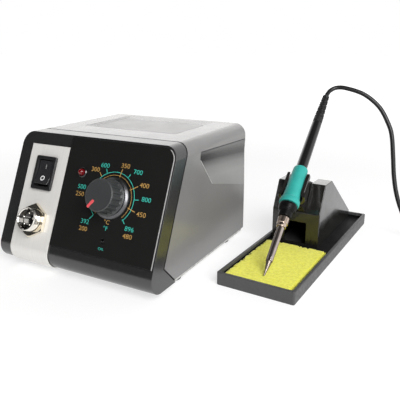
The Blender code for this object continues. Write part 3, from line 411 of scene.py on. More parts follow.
def circuit_board():
    f = Finish("board", (0.01, 0.13, 0.045), 0.35)
    tracks = f.bands(260, "X", 6.0)
    f.tint(tracks, [(0.45, (0.006, 0.09, 0.03)), (0.55, (0.02, 0.2, 0.07))])
    f.bump(tracks, 0.03)


def striped(name, colour, roughness, scale, direction, amount, depth):
    """Metal in fine layers, such as a winding or a stack of sheets."""
    f = Finish(name, colour, roughness, metallic=0.7)
    layers = f.bands(scale, direction)
    f.vary(layers, amount).bump(layers, depth)


def clear_glass(name, colour, transmission):
    f = Finish(name, colour, 0.06, levels={"Transmission Weight": transmission})
    f.gloss(f.noise(300), 0.04, 0.1)
    f.bump(f.noise(900), 0.004)


def make_materials():
    """Fills MATERIALS. A plastic's row ends with its grain, relief, specular and coat."""
    plastics = [
        ("cover", (0.155, 0.152, 0.151), 0.24, 1800, 0.0015, 0.7),
        ("matt_cover", (0.185, 0.181, 0.178), 0.33, 1500, 0.003, 0.7),
        ("bezel", (0.017, 0.017, 0.0175), 0.24, 2200, 0.0015, 0.95),
        # Light grey for thin strips that stand for highlights on edges: painted highlight.
        ("bead", (0.36, 0.355, 0.35), 0.3, 1800, 0.0015),
        ("film", (0.0095, 0.0092, 0.0088), 0.3, 3000, 0.002, 0.4),
        ("jacket", (0.007, 0.007, 0.0075), 0.36, 1500, 0.004, 0.4),
        ("black", (0.014, 0.014, 0.015), 0.3),
        ("knob", (0.036, 0.038, 0.039), 0.42, 2600, 0.006),
        ("shiny", (0.007, 0.007, 0.0075), 0.16, 1500, 0.002, 0.5, 0.2),
        ("collar", (0.004, 0.004, 0.004), 0.32, 1800, 0.003, 0.14),
        ("rocker", (0.02, 0.02, 0.022), 0.22, 1500, 0.002, 0.8),
        # Matt black for pieces that stand for shadow: painted shade.
        ("matt_casting", (0.006, 0.006, 0.006), 0.6, 1500, 0.01, 0.1),
        ("ceramic", (0.78, 0.76, 0.70), 0.6, 1500, 0.02),
        ("pointer", (0.70, 0.09, 0.10), 0.4),
        ("white_ink", (0.75, 0.75, 0.75), 0.5),
        ("grey_ink", (0.25, 0.25, 0.25), 0.5),
        ("teal_ink", (0.04, 0.46, 0.37), 0.5),
        ("gold_ink", (0.46, 0.27, 0.075), 0.5),
    ]
    metals = [
        ("chrome", (0.86, 0.83, 0.78), 0.09), ("warm_nickel", (0.86, 0.79, 0.66), 0.1),
        ("steel", (0.52, 0.45, 0.42), 0.13), ("warm_steel", (0.58, 0.47, 0.40), 0.16),
        ("dark_steel", (0.12, 0.12, 0.12), 0.3), ("satin_ring", (0.13, 0.13, 0.135), 0.34),
        ("tinned", (0.26, 0.22, 0.19), 0.34),
    ]
    for row in plastics:
        moulded(*row)
    for row in metals:
        plated(*row)
    layered("rubber", (0.011, 0.011, 0.012), 0.5, (120, 5, 0.25), (300, 4, 0.42, 0.66),
            (2200, 3, 0.03), specular=0.35)
    layered("tray", (0.056, 0.056, 0.057), 0.5, (45, 4, 0.07), (400, 3, 0.42, 0.6),
            (2500, 3, 0.03), (1500, 0.03))
    layered("casting", (0.012, 0.0115, 0.0105), 0.18, (50, 3, 0.15), (130, 4, 0.12, 0.24),
            (260, 2, 0.012), coat=0.35)
    layered("grip", (0.022, 0.325, 0.285), 0.52, (140, 5, 0.09), (220, 4, 0.45, 0.62),
            (3500, 2, 0.02), (2200, 0.03), specular=0.35,
            levels={"Sheen Weight": 0.12, "Sheen Roughness": 0.4})
    striped("winding", (0.42, 0.13, 0.04), 0.3, 1200, "Z", 0.3, 0.2)
    striped("core", (0.16, 0.15, 0.14), 0.45, 900, "Y", 0.35, 0.1)
    clear_glass("red_lens", (0.16, 0.003, 0.005), 0.2)
    clear_glass("fuse_glass", (0.85, 0.9, 0.9), 0.8)
    for make in (ramp_painted_shade, brushed_sheet, zinc_sheet, sponge_cellulose, circuit_board):
        make()


# ---- shaping tools

def rounded(points, radius, count=3, closed=True):
    """The outline with each corner turned into a short curve."""
    points = [Vector(p) for p in points]
    result = []
    for index, corner in enumerate(points):
        if not closed and index in (0, len(points) - 1):
            result.append(corner)
            continue
        before, after = points[index - 1] - corner, points[(index + 1) % len(points)] - corner
        reach = min(radius, 0.42 * before.length, 0.42 * after.length)
        start, end = corner + before.normalized() * reach, corner + after.normalized() * reach
        for step in range(count + 1):
            t = step / count
            result.append(start * (1 - t) ** 2 + corner * 2 * t * (1 - t) + end * t ** 2)
    return result


def arc(centre, radius, start, end, count):
    angles = [math.radians(start + (end - start) * i / count) for i in range(count + 1)]
    return [(centre[0] + radius * math.cos(a), centre[1] + radius * math.sin(a)) for a in angles]


def rectangle(low, high):
    return [(low[0], low[1]), (high[0], low[1]), (high[0], high[1]), (low[0], high[1])]


def centred(size):
    return rectangle((-size[0] / 2, -size[1] / 2), (size[0] / 2, size[1] / 2))


def arch(half, bottom, top, radius, count=14):
    points = [(-half, bottom), (half, bottom)]
    points += arc((half - radius, top - radius), radius, 0, 90, count)
    return points + arc((-half + radius, top - radius), radius, 90, 180, count)


def new_piece(name, bm, at):
    """An object whose mesh is in the row frame, from millimetres in the frame at."""
    bmesh.ops.recalc_face_normals(bm, faces=bm.faces)
    mesh = bpy.data.meshes.new(name)
    bm.to_mesh(mesh)
    bm.free()
    mesh.transform(at @ Matrix.Scale(MM, 4))
    obj = bpy.data.objects.new(name, mesh)
    bpy.context.scene.collection.objects.link(obj)
    return obj


def loft(name, rings, at, closed=False):
    """Skin over rings of points. A ring of one point closes an end; others are capped."""
    bm = bmesh.new()
    loops = [[bm.verts.new(p) for p in ring] for ring in rings]
    pairs = list(zip(loops, loops[1:])) + ([(loops[-1], loops[0])] if closed else [])
    for low, high in pairs:
        count = max(len(low), len(high))
        for i in range(count):
            j = (i + 1) % count
            corners = [low[i % len(low)], low[j % len(low)], high[j % len(high)],
                       high[i % len(high)]]
            bm.faces.new(list(dict.fromkeys(corners)))
    if not closed:
        for loop in (loops[0], loops[-1]):
            if len(loop) > 2:
                bm.faces.new(loop)
    return new_piece(name, bm, at)


def prism(name, outline, low, high, at):
    return stack(name, [(outline, low), (outline, high)], at)


def stack(name, layers, at):
    """A closed skin over outlines of (x, y) points, each at its own z."""
    return loft(name, [[(x, y, z) for x, y in outline] for outline, z in layers], at)


def side_prism(name, outline, low, high, at=STATION):
    """An outline of (y, z) points, extruded along X."""
    return loft(name, [[(x, y, z) for y, z in outline] for x in (low, high)], at)


def front_prism(name, outline, low, high, at=STATION):
    """An outline of (x, z) points, extruded along Y."""
    return loft(name, [[(x, y, z) for x, z in outline] for y in (low, high)], at)


def box(name, low, high, at):
    return prism(name, rectangle(low, high), low[2], high[2], at)


def circle(radius, z, steps, dip=None):
    """Points round z. Where dip is given, point i is drawn in by dip(i)."""
    points = []
    for i in range(steps):
        angle = 2 * math.pi * i / steps
        reach = radius - (dip(i) if dip else 0)
        points.append((reach * math.cos(angle), reach * math.sin(angle), z))
    return points


def lathe(name, profile, at, steps=48, closed=False, soften=0.0):
    """A profile of (radius, z) turned round z."""
    if soften:
        profile = rounded(profile, soften, 3, closed)
    rings = [circle(radius, z, steps) if radius > 1e-6 else [(0, 0, z)] for radius, z in profile]
    return loft(name, rings, at, closed)


def drill(at, radius, low, high, steps=64):
    """Cutter for a round hole along z."""
    return lathe("drill", [(0, high), (radius, high), (radius, low), (0, low)], at, steps)


def bake(obj):
    """Applies the object's modifiers to its mesh."""
    graph = bpy.context.evaluated_depsgraph_get()
    mesh = bpy.data.meshes.new_from_object(obj.evaluated_get(graph))
    obj.modifiers.clear()
    old, obj.data = obj.data, mesh
    bpy.data.meshes.remove(old)
    return obj


def carve(obj, *cutters, operation="DIFFERENCE"):
    for cutter in cutters:
        mod = obj.modifiers.new("carve", "BOOLEAN")
        mod.operation, mod.object, mod.solver = operation, cutter, "EXACT"
        bake(obj)
        bpy.data.objects.remove(cutter, do_unlink=True)
    return obj


def unite(obj, *others):
    return carve(obj, *others, operation="UNION")


def bevel(obj, width, segments=2, angle=35.0):
    mod = obj.modifiers.new("soft_edges", "BEVEL")
    mod.width, mod.segments = width * MM, segments
    mod.limit_method, mod.angle_limit = "ANGLE", math.radians(angle)
    mod.harden_normals = False
    return bake(obj)


def finish(obj, mat, node=None, body=FIXED, smooth=32.0, flat_faces=True):
    """Material, shading, body and CAD node of a finished piece."""
    obj.data.materials.clear()
    obj.data.materials.append(MATERIALS[mat])
    obj.data.shade_smooth()
    obj.data.set_sharp_from_angle(angle=math.radians(smooth))
    if flat_faces:
        mod = obj.modifiers.new("even_normals", "WEIGHTED_NORMAL")
        mod.keep_sharp = True
    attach(obj, body)
    if node:
        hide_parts(node)


def printed(obj, mat, body=FIXED):
    finish(obj, mat, body=body, flat_faces=False)


# ---- cord

def smooth_route(points, spacing):
    """Even steps, in metres, along a Catmull-Rom curve through the points."""
    points = [Vector(p) for p in points]
    ends = [2 * points[0] - points[1], *points, 2 * points[-1] - points[-2]]
    fine = []
    for a, b, c, d in zip(ends, ends[1:], ends[2:], ends[3:]):
        for i in range(12):
            t = i / 12
            fine.append(0.5 * (2 * b + (c - a) * t + (2 * a - 5 * b + 4 * c - d) * t * t
                               + (3 * b - a - 3 * c + d) * t ** 3))
    fine.append(points[-1])
    route, left = [fine[0]], spacing
    for a, b in zip(fine, fine[1:]):
        length = (b - a).length
        done = 0.0
        while length - done >= left:
            done += left
            route.append(a.lerp(b, done / length))
            left = spacing
        left -= length - done
    return route + [fine[-1]]


def ease(value, start, end):
    t = min(1.0, max(0.0, (value - start) / (end - start)))
    return t * t * (3 - 2 * t)


def coil_turns():
    """Three turns inwards on the bench, then out again on top of them, clockwise from above."""
    low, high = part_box("cord_coil")
    centre = (low + high) / 2
    bottom, top = TURN_HEIGHTS
    turns, quarter = [], 90.0
    for step in range(10, int(5 * 360 + quarter - 25), 10):
        turn, angle = divmod(step, 360)
        if turn < 3:
            ring, after = turn, min(turn + 1, 2)
            share = ease(angle, 300.0, 360.0)
        else:
            ring, after = max(5 - turn, 0), max(4 - turn, 0)
            share = ease(angle, 120.0, 180.0)
        radius = TURN_RADII[ring] + (TURN_RADII[after] - TURN_RADII[ring]) * share
        climbed = 0 if turn < 2 else share if turn == 2 else 1
        height = bottom + (top - bottom) * climbed
        bearing = math.radians(quarter - step)
        turns.append((centre.x + radius * MM * math.cos(bearing),
                      centre.y + radius * MM * math.sin(bearing), height * MM))
    return turns


def tube(name, path, radius, sides=14):
    """A round tube along the path, with rings that don't twist."""
    rings = []
    side = Vector((0, 1, 0))
    for index, point in enumerate(path):
        ahead = path[min(index + 1, len(path) - 1)] - path[max(index - 1, 0)]
        ahead.normalize()
        side = (side - ahead * side.dot(ahead)).normalized()
        other = ahead.cross(side)
        rings.append([(point + (side * math.cos(a) + other * math.sin(a)) * radius) / MM
                      for a in (2 * math.pi * i / sides for i in range(sides))])
    return loft(name, rings, Matrix.Identity(4))


def iron_cord():
    path = smooth_route([*CORD_ROUTE, *coil_turns(), *TAIL_ROUTE], 0.002)
    cord = tube("iron_lead", path, CORD_D / 2)
    cord.data.materials.append(MATERIALS["jacket"])
    cord.data.shade_smooth()
    cord.data.set_sharp_from_angle(angle=math.radians(50))
    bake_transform(cord)
    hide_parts("iron_cord", "cord_tail", "cord_coil")


PLUG_CONTACTS = ["plug_contact_%d" % (index + 1) for index in range(5)]


def contact_places():
    for index in range(5):
        angle = math.radians(90 + index * 72)
        yield PIN_CIRCLE * math.cos(angle), PIN_CIRCLE * math.sin(angle)


def cord_plug():
    boot = [(0, 19.8), (5.6, 19.9), (6.3, 19.2), (6.1, 17)]
    for index in range(5):
        z = 15.8 - index * 2.6
        radius = 4.9 - index * 0.3
        boot += [(radius + 0.4, z), (radius - 0.3, z - 0.4), (radius - 0.3, z - 1.1),
                 (radius + 0.3, z - 1.6)]
    boot += [(3.3, 0.4), (3.0, 0), (2.25, 0), (2.25, 1.2), (0, 1.2)]
    finish(lathe("plug_boot", boot, PLUG, 32, soften=0.3), "rubber",
           "plug_relief", smooth=50)
    shell = [(0, 24), (7.6, 24), (7.6, 46), (8.4, 46), (8.6, 45.6), (8.6, 33), (10.6, 33),
             (10.8, 32.5), (10.8, 30.6), (10.3, 30.2), (10.3, 29.4), (10.8, 29), (10.8, 23),
             (9.4, 20.4), (0, 20.4)]
    finish(lathe("plug_body", shell, PLUG, soften=0.35), "chrome", "plug_shell")
    grooves, per = 24, 6

    def grooved(radius, z, depth):
        return circle(radius, z, grooves * per,
                      lambda i: depth * math.sin(math.pi * (i % per) / per) ** 2)

    collar = [(8.95, 45, 0), (10.4, 45, 0), (10.9, 44.6, 0), (11.0, 44.0, 0.1), (11.0, 43.2, 0.5),
              (11.0, 35.8, 0.5), (11.0, 34.8, 0.1), (10.8, 33.8, 0), (10.4, 33.4, 0),
              (8.95, 33.4, 0)]
    finish(loft("plug_collar", [grooved(*row) for row in collar], PLUG, closed=True),
           "chrome", "plug_ring", "ring")
    face = lathe("plug_face", [(0, 43), (7.0, 43), (7.25, 42.6), (7.25, 26), (0, 26)], PLUG,
                 soften=0.2)
    sleeve = [(0.75, 42.3), (1.05, 42.3), (1.05, 36.1), (0.75, 36.1)]
    for name, (x, y) in zip(PLUG_CONTACTS, contact_places()):
        at = shifted(PLUG, x, y)
        carve(face, drill(at, 1.15, 36, 50, 20))
        finish(lathe(name, sleeve, at, 20, closed=True), "chrome")
    finish(face, "black", "plug_insert")


# ---- housing

def panel_y(z):
    return (z - PANEL_FOOT_Z) * PANEL_RUN / PANEL_RISE


def nose_centre():
    up, out = math.cos(PANEL_ANGLE), math.sin(PANEL_ANGLE)
    drop = (PANEL_FOOT_Z - BEZEL_BOTTOM - NOSE_RADIUS * (1 + up)) / out
    return (-drop * up + NOSE_RADIUS * out, BEZEL_BOTTOM + NOSE_RADIUS)


def nose_arc(radius, end=270.0):
    return arc(nose_centre(), radius, 90 + math.degrees(PANEL_ANGLE), end, 22)


def seam(offset, top):
    back = BEZEL_DEPTH / math.sin(PANEL_ANGLE) + offset
    return [(panel_y(top) + back, top), (panel_y(SEAM_KNEE_Z) + back, SEAM_KNEE_Z),
            (SEAM_FOOT_Y + offset, BEZEL_BOTTOM)]


def scoop_grid(rows, rear, lift=0.0):
    """Points (depth, y, z) on the hollow's surface: per row one at its tip and one at its rear."""
    grid = []
    for (y0, z0), (y1, z1), depth in rows:
        t = (rear - y0) / (y1 - y0)
        shallow = depth * (0.3 if depth > 0 else 1.0)
        grid.append(((depth - lift, y0, z0), (shallow - lift, rear, z0 + (z1 - z0) * t)))
    return grid


def thick_sheet(name, outer, inner, side):
    """A closed piece between two grids of points (depth below the cover's side, y, z)."""
    face = STATION_W / 2
    bm = bmesh.new()
    sheets = [[[bm.verts.new(((face - depth) * side, y, z)) for depth, y, z in row]
               for row in grid] for grid in (outer, inner)]
    for row in range(len(outer) - 1):
        for a in sheets:
            bm.faces.new((a[row][0], a[row][1], a[row + 1][1], a[row + 1][0]))
        for end in (0, 1):
            a, b = sheets
            bm.faces.new((a[row][end], a[row + 1][end], b[row + 1][end], b[row][end]))
    for row in (0, -1):
        a, b = sheets
        bm.faces.new((a[row][0], a[row][1], b[row][1], b[row][0]))
    return new_piece(name, bm, STATION)


def side_scoop(side):
    """Cutter for the hollow in the cover's upper rear side: a cove above, a long ramp below."""
    surface = scoop_grid(SCOOP_ROWS, 158.0)
    outside = [[(-4.0, y, z) for _, y, z in row] for row in surface]
    return thick_sheet("side_scoop", outside, surface, side)


def side_ramp(side):
    """Insert on the hollow's surface painted with shade and light, a black strip above it as painted
    shade along the crease, and a light strip along its front edge as a painted highlight.
    """
    end = "left" if side < 0 else "right"

    def sheet(name, rows, mat, lift):
        inset = [((y + 0.5, z), rear, depth) for (y, z), rear, depth in rows]
        front = scoop_grid(inset, STATION_REAR - 0.6, lift)
        back = [[(depth + 0.6, y, z) for depth, y, z in row] for row in front]
        finish(thick_sheet(name + end, front, back, side), mat, flat_faces=False)

    (y0, z0), (y1, z1), depth = SCOOP_ROWS[0]
    crease = [((y0, z0 - drop), (y1, z1 - drop), depth) for drop in (0, 0.6)]
    # Black strip: painted shade along the crease.
    sheet("side_crease_shade_", crease, "rubber", 0.02)
    # Insert: painted shade and light down the ramp.
    sheet("side_ramp_shade_", (((y0, z0 - 0.65), (y1, z1 - 0.65), 0.03), *SCOOP_ROWS[1:]), "ramp", 0.1)
    # Light grey strip: painted highlight on the hollow's front edge.
    face = (STATION_W / 2 + 0.02) * side
    path = [STATION @ (Vector((face, y, z)) * MM) for y, z in ((68.4, 90.2), (87.8, 66.8))]
    finish(tube("side_highlight_strip_" + end, path, 0.25 * MM, 8), "bead", flat_faces=False)


def top_recess():
    low = rounded(rectangle((-43, 84), (43, 136)), 4.0)
    high = rounded(rectangle((-49, 73), (49, 147)), 5.0)
    return stack("top_recess", [(low, STATION_H - 1.2), (high, STATION_H + 0.24)], STATION)


def recess_floor():
    """Matt panel on the floor of the recess in the cover's top."""
    outline = rounded(rectangle((-42.7, 84.3), (42.7, 135.7)), 4.0)
    floor = prism("recess_floor", outline, STATION_H - 1.8, STATION_H - 1.13, STATION)
    finish(floor, "matt_cover")


def housing_cover():
    half = STATION_W / 2
    outer = arch(half, COVER_BOTTOM, STATION_H, COVER_RADIUS)
    cover = front_prism("cover_shell", outer, 5.0, STATION_REAR)
    front = [(-60, STATION_H + 8), *seam(SEAM_GAP, STATION_H + 8), (SEAM_FOOT_Y, -5), (-60, -5)]
    carve(cover, side_prism("front_slant", front, -half - 5, half + 5))
    carve(cover, side_scoop(1), side_scoop(-1), top_recess())
    inner = arch(half - COVER_WALL, -10, STATION_H - COVER_WALL, COVER_RADIUS - COVER_WALL)
    carve(cover, front_prism("cover_hollow", inner, -10, STATION_REAR + 10))
    bevel(cover, 0.5, 2, 28)
    finish(cover, "cover", "housing_cover", smooth=30)
    side_ramp(1)
    side_ramp(-1)


def seam_lip():
    """Dark tongue inside the joint between the cover and the front frame: painted shade for the
    shadow in the gap.
    """
    half, top = STATION_W / 2, STATION_H + 2
    lip = side_prism("seam_lip", seam(0.05, top) + seam(SEAM_GAP - 0.05, top)[::-1], -half, half)
    outside = arch(half - 0.04, COVER_BOTTOM, STATION_H - 0.04, COVER_RADIUS - 0.04)
    inside = arch(half - 2.4, -10, STATION_H - 2.4, COVER_RADIUS - 2.4)
    carve(lip, front_prism("lip_outside", outside, -30, 90), operation="INTERSECT")
    carve(lip, front_prism("lip_inside", inside, -31, 91))
    finish(lip, "matt_casting")


def bezel_outline(inset, back):
    top = STATION_H - inset
    front = (panel_y(top) + inset / math.sin(PANEL_ANGLE), top)
    foot = (SEAM_FOOT_Y + back, BEZEL_BOTTOM + inset)
    return [front, *nose_arc(NOSE_RADIUS - inset), foot, *seam(back, top)[1::-1]]


def panel_hole(at, radius):
    return drill(shifted(PANEL, *at), radius, -8, 8, 40)


def switch_hole():
    return prism("switch_hole", centred((18.2, 24.2)), -8, 8, shifted(PANEL, *SWITCH_AT))


def front_bezel():
    half = STATION_W / 2
    bezel = side_prism("front_frame", bezel_outline(0, 0), -half, half)
    rounding = front_prism("rounding", arch(half, 0, STATION_H, COVER_RADIUS), -30, 90)
    carve(bezel, rounding, operation="INTERSECT")
    bevel(bezel, 1.0, 4, 40)
    hollow = side_prism("bezel_hollow", bezel_outline(BEZEL_WALL, 15), -half + BEZEL_WALL,
                        half - BEZEL_WALL)
    carve(bezel, hollow, switch_hole(), panel_hole(SOCKET_AT, SOCKET_HOLE_R),
          panel_hole(DIAL_AT, SHAFT_HOLE_R), panel_hole(LED_AT, LED_HOLE_R), panel_hole(CAL_AT, 2.7))
    finish(bezel, "bezel", "front_bezel", smooth=30)


def connector_strip():
    top = PANEL_FOOT_Z + STRIP_TOP * math.sin(PANEL_ANGLE)

    def path(offset):
        start = (panel_y(top) - offset / math.sin(PANEL_ANGLE), top)
        return [start, *nose_arc(NOSE_RADIUS + offset, 268)]

    low, high = STRIP_N
    strip = side_prism("front_strip", path(low) + path(high)[::-1], *STRIP_X)
    carve(strip, switch_hole(), panel_hole(SOCKET_AT, SOCKET_HOLE_R))
    bevel(strip, 0.2, 2, 50)
    finish(strip, "silver", "connector_strip")


def panel_overlay():
    (x0, x1), (y0, y1) = OVERLAY_X, OVERLAY_Y
    corner = arc((x1 - FILM_CORNER, y1 - FILM_CORNER), FILM_CORNER, 0, 90, 12)
    outline = [(x0, y0), (x1, y0), *corner, (x0, y1)]
    overlay = prism("front_film", outline, *OVERLAY_N, PANEL)
    carve(overlay, panel_hole(DIAL_AT, SHAFT_HOLE_R), panel_hole(LED_AT, LED_HOLE_R),
          panel_hole(CAL_AT, 2.0))
    bevel(overlay, 0.25, 2, 50)
    finish(overlay, "film", "panel_overlay")


def film_edge_highlight():
    """Light strip along the film's right border: a painted highlight on the edge there."""
    x1, (y0, y1) = OVERLAY_X[1], OVERLAY_Y
    centre, radius, width = (x1 - FILM_CORNER, y1 - FILM_CORNER), FILM_CORNER, 0.42
    outer = [(x1 + 0.05, y0), *arc(centre, radius + 0.05, 0, 58, 10)]
    inner = [*arc(centre, radius - width, 58, 0, 10), (x1 - width, y0)]
    edge = prism("film_edge_highlight", outer + inner, OVERLAY_N[1] - 0.6, OVERLAY_N[1] + 0.03, PANEL)
    finish(edge, "bead")


# ---- panel print

INK_N = OVERLAY_N[1] + 0.02
INK_THICK = 0.05


def text_piece(name, words, size, mat, x, y):
    curve = bpy.data.curves.new(name, "FONT")
    curve.body, curve.size = words, size
    curve.align_x, curve.align_y = "CENTER", "CENTER"
    curve.extrude, curve.offset = INK_THICK / 2, -0.004 * size
    curve.resolution_u = 4
    source = bpy.data.objects.new(name, curve)
    bpy.context.scene.collection.objects.link(source)
    graph = bpy.context.evaluated_depsgraph_get()
    mesh = bpy.data.meshes.new_from_object(source.evaluated_get(graph))
    bpy.data.objects.remove(source, do_unlink=True)
    at = shifted(PANEL, x, y, INK_N + 0.03)
    mesh.transform(at @ Matrix.Scale(MM, 4) @ Matrix.Scale(1.12, 4, (1, 0, 0)))
    obj = bpy.data.objects.new(name, mesh)
    bpy.context.scene.collection.objects.link(obj)
    printed(obj, mat)


def arc_band(name, radius, width, mat):
    """A printed line round the dial from its lowest to its highest setting."""
    outer = arc((0, 0), radius + width / 2, DIAL_START, DIAL_END, 72)
    inner = arc((0, 0), radius - width / 2, DIAL_END, DIAL_START, 72)
    printed(prism(name, outer + inner, INK_N, INK_N + INK_THICK, shifted(PANEL, *DIAL_AT)), mat)


def tick(name, angle, start, end, mat):
    half = 0.275
    at = shifted(PANEL, *DIAL_AT, INK_N + 0.01, angle)
    printed(prism(name, rectangle((start, -half), (end, half)), 0, INK_THICK, at), mat)


def panel_print():
    teal, gold = "teal_ink", "gold_ink"
    arc_band("outer_arc", 19.8, 0.45, teal)
    arc_band("inner_arc", 17.5, 0.3, gold)
    ticks = [(DIAL_START, 20.0, 24.5, teal), (131.6, 20.2, 24.0, gold), (116.0, 20.3, 23.6, teal),
             (79.5, 16.6, 23.1, gold), (58.0, 19.7, 23.3, teal), (29.4, 16.6, 23.8, gold),
             (5.0, 20.0, 23.8, teal), (-17.0, 16.6, 23.6, gold), (DIAL_END, 19.1, 23.0, teal)]
    for index, row in enumerate(ticks):
        tick("dial_tick_%d" % (index + 1), *row)
    labels = [("392", teal, 8.1, 23.1), ("200", gold, 7.9, 17.6), ("500", teal, -1.9, 48.6),
              ("250", gold, -2.3, 43.0), ("300", gold, 7.6, 63.3), ("600", teal, 16.0, 67.3),
              ("350", gold, 34.4, 68.9), ("700", teal, 46.4, 65.6), ("400", gold, 54.2, 56.7),
              ("800", teal, 58.2, 46.9), ("450", gold, 56.5, 35.8), ("896", teal, 49.0, 24.0),
              ("480", gold, 48.7, 18.6)]
    for words, *row in labels:
        text_piece("label_" + words, words, 4.9, *row)
    text_piece("label_celsius", "°C", 4.6, gold, 28.1, 25.8)
    text_piece("label_fahrenheit", "°F", 4.6, teal, 28.1, 21.0)
    text_piece("label_trim", "CAL", 2.5, teal, 28.0, 5.8)


# ---- switch, socket, lamp, knob

def power_switch():
    at = shifted(PANEL, *SWITCH_AT)
    face = STRIP_N[1] + 0.3
    surround = prism("switch_surround", rounded(centred(SWITCH_FRAME), 1.8, 5), face, face + 2.3, at)
    bevel(surround, 0.55, 3, 50)
    unite(surround, box("switch_body", (-8.5, -11.5, -19), (8.5, 11.5, face + 0.5), at))
    w, h = SWITCH_POCKET
    pocket = [(rounded(centred((w + grow, h + grow)), 0.8), z)
              for z, grow in ((-9, 0), (face + 1.4, 0), (face + 2.4, 0.9))]
    carve(surround, stack("switch_pocket", pocket, at))
    finish(surround, "black", "switch_frame")
    half, end, ridge, floor = ROCKER[1] / 2, 5.0, 3.5, -5.5
    rocker_at = shifted(at, z=-1.6, turn=-ROCKER_TILT, axis="X")
    dish = [(half * (1 - i / 8), end + (ridge - end) * i / 8 - 0.3 * math.sin(math.pi * i / 8))
            for i in range(9)]
    outline = [(-half + 0.4, -3.0), (-4, floor), (4, floor), (half - 0.4, -3.0)]
    outline += dish + [(-y, z) for y, z in dish[-2::-1]]
    rocker = side_prism("switch_paddle", outline, -ROCKER[0] / 2, ROCKER[0] / 2, rocker_at)
    bevel(rocker, 0.45, 3, 38)
    finish(rocker, "rocker", "switch_rocker", "rocker", smooth=40)
    slope = math.degrees(math.atan2(end - ridge, half))
    bar = prism("mark_on", rounded(centred((0.7, 3.6)), 0.3), 0, 0.06,
                shifted(rocker_at, 0, half / 2, 4.02, slope, "X"))
    printed(bar, "grey_ink", "rocker")
    ring = lathe("mark_off", [(1.35, 0.06), (2.15, 0.06), (2.15, 0), (1.35, 0)],
                 shifted(rocker_at, 0, -half / 2, 4.02, -slope, "X"), 36, closed=True)
    printed(ring, "white_ink", "rocker")


def iron_socket():
    at = shifted(PANEL, *SOCKET_AT)
    r, bore = SOCKET_R, SOCKET_R - 1.4
    profile = [(bore + 0.6, SOCKET_TOP), (r - 0.5, SOCKET_TOP)]
    for index in range(5):
        z = SOCKET_TOP - 0.8 - index * 1.1
        profile += [(r, z), (r, z - 0.3), (r - 0.4, z - 0.6), (r - 0.4, z - 0.8)]
    profile += [(r, 4.2), (r, -3.4), (11.2, -3.4), (11.2, -5.0), (r, -5.0), (r, -12),
                (bore, -12), (bore, SOCKET_TOP - 0.6)]
    finish(lathe("socket_barrel", profile, at, 64, closed=True), "chrome",
           "socket_shell", smooth=40)
    low, corner = STRIP_N[1] + 0.3, NUT_FLATS / math.sqrt(3)
    nut = prism("socket_hex_nut", arc((0, 0), corner, 0, 300, 5), low, low + 3.0,
                shifted(at, turn=28))
    dome = [(0, low + 3.4), (NUT_FLATS / 2 - 0.2, low + 3.4), (corner + 0.2, low + 2.1),
            (corner + 0.2, low - 1), (0, low - 1)]
    carve(nut, lathe("nut_dome", dome, at, 96), operation="INTERSECT")
    carve(nut, drill(at, SOCKET_HOLE_R, 0, 9))
    bevel(nut, 0.25, 2, 35)
    finish(nut, "warm_nickel", "socket_nut", smooth=35)
    core = [(0, 5.0), (bore - 0.6, 5.0), (bore - 0.35, 4.7), (bore - 0.35, -11), (0, -11)]
    insert = lathe("socket_core", core, at)
    carve(insert, box("keyway", (-0.9, -bore - 1, 2.6), (0.9, -bore + 1.2, 8), at))
    finish(insert, "shiny", "socket_insert")
    pin = [(0, 8.8), (0.45, 8.7), (0.8, 8.2), (0.8, 4.5), (0, 4.5)]
    for index, (x, y) in enumerate(contact_places()):
        name = "socket_pin_%d" % (index + 1)
        finish(lathe(name, pin, shifted(at, x, y), 20), "chrome")


def power_lamp():
    at = shifted(PANEL, *LED_AT)
    low = OVERLAY_N[1] + 0.3
    ring = [(2.9, low + 1.2), (3.4, low + 1.2), (4.2, low + 0.4), (4.2, low), (3.2, low),
            (3.2, -4.5), (2.9, -4.5)]
    finish(lathe("lamp_ring", ring, at, 40, closed=True, soften=0.2), "shiny",
           "led_bezel")
    dome = [(0, low + 4.2)] + [(2.6 * math.sin(a), low + 1.6 + 2.6 * math.cos(a))
                               for a in (math.pi / 2 * i / 10 for i in range(1, 11))]
    finish(lathe("lamp_lens", dome + [(2.6, -6), (0, -6)], at, 40), "red_lens",
           "led_lens", flat_faces=False)


def fluted_knob():
    at = shifted(PANEL, *DIAL_AT)
    flutes, per = 18, 10

    def ring(radius, z, depth=0.0):
        return circle(radius, z, flutes * per,
                      lambda i: depth * ease(abs((i % per) / per - 0.5), 0.32, 0.18))

    r, low, top = KNOB_R, KNOB_BOTTOM, KNOB_TOP
    flange, bore, boss = r + 1.3, 3.3, 8.0
    rows = [(bore, top - 3.0), (bore, low + 1.5), (boss, low + 1.4), (boss, low + 0.1),
            (flange - 0.3, low), (flange, low + 0.3), (flange, low + 0.9),
            (flange - 0.4, low + 1.3), (r + 0.25, low + 1.5), (r + 0.2, low + 1.8, 0.3),
            (r + 0.1, low + 2.2, 0.95), (r - 0.25, top - 1.8, 0.95), (r - 0.3, top - 1.3, 0.6),
            (r - 0.4, top - 1.0, 0.1), (r - 0.5, top - 0.7), (r - 0.75, top - 0.2),
            (r - 1.1, top), (r - 1.6, top - 0.05), (r - 1.9, top - 0.2), (4.0, top - 0.25)]
    rings = [[(0, 0, top - 3.0)], *(ring(*row) for row in rows), [(0, 0, top - 0.25)]]
    finish(loft("knob_cap", rings, at), "knob", "temp_knob", "knob", smooth=35)
    bar = prism("knob_mark", rounded(rectangle((5.4, -1.05), (12.5, 1.05)), 0.7), top - 0.6,
                top + 0.15, shifted(PANEL, *DIAL_AT, turn=POINTER_AT))
    bevel(bar, 0.15, 2, 50)
    finish(bar, "pointer", "knob_pointer", "knob")
    low, high, inside, outside = OVERLAY_N[1] + 0.4, KNOB_BOTTOM - 0.3, 12.6, 15.9
    skirt = [(inside, high), (14.0, high), (15.5, high - 1.3), (outside, high - 2.0),
             (outside, low), (inside, low)]
    finish(lathe("knob_skirt", skirt, at, 72, closed=True, soften=0.4), "satin_ring",
           "knob_ring", "knob")


# ---- stand

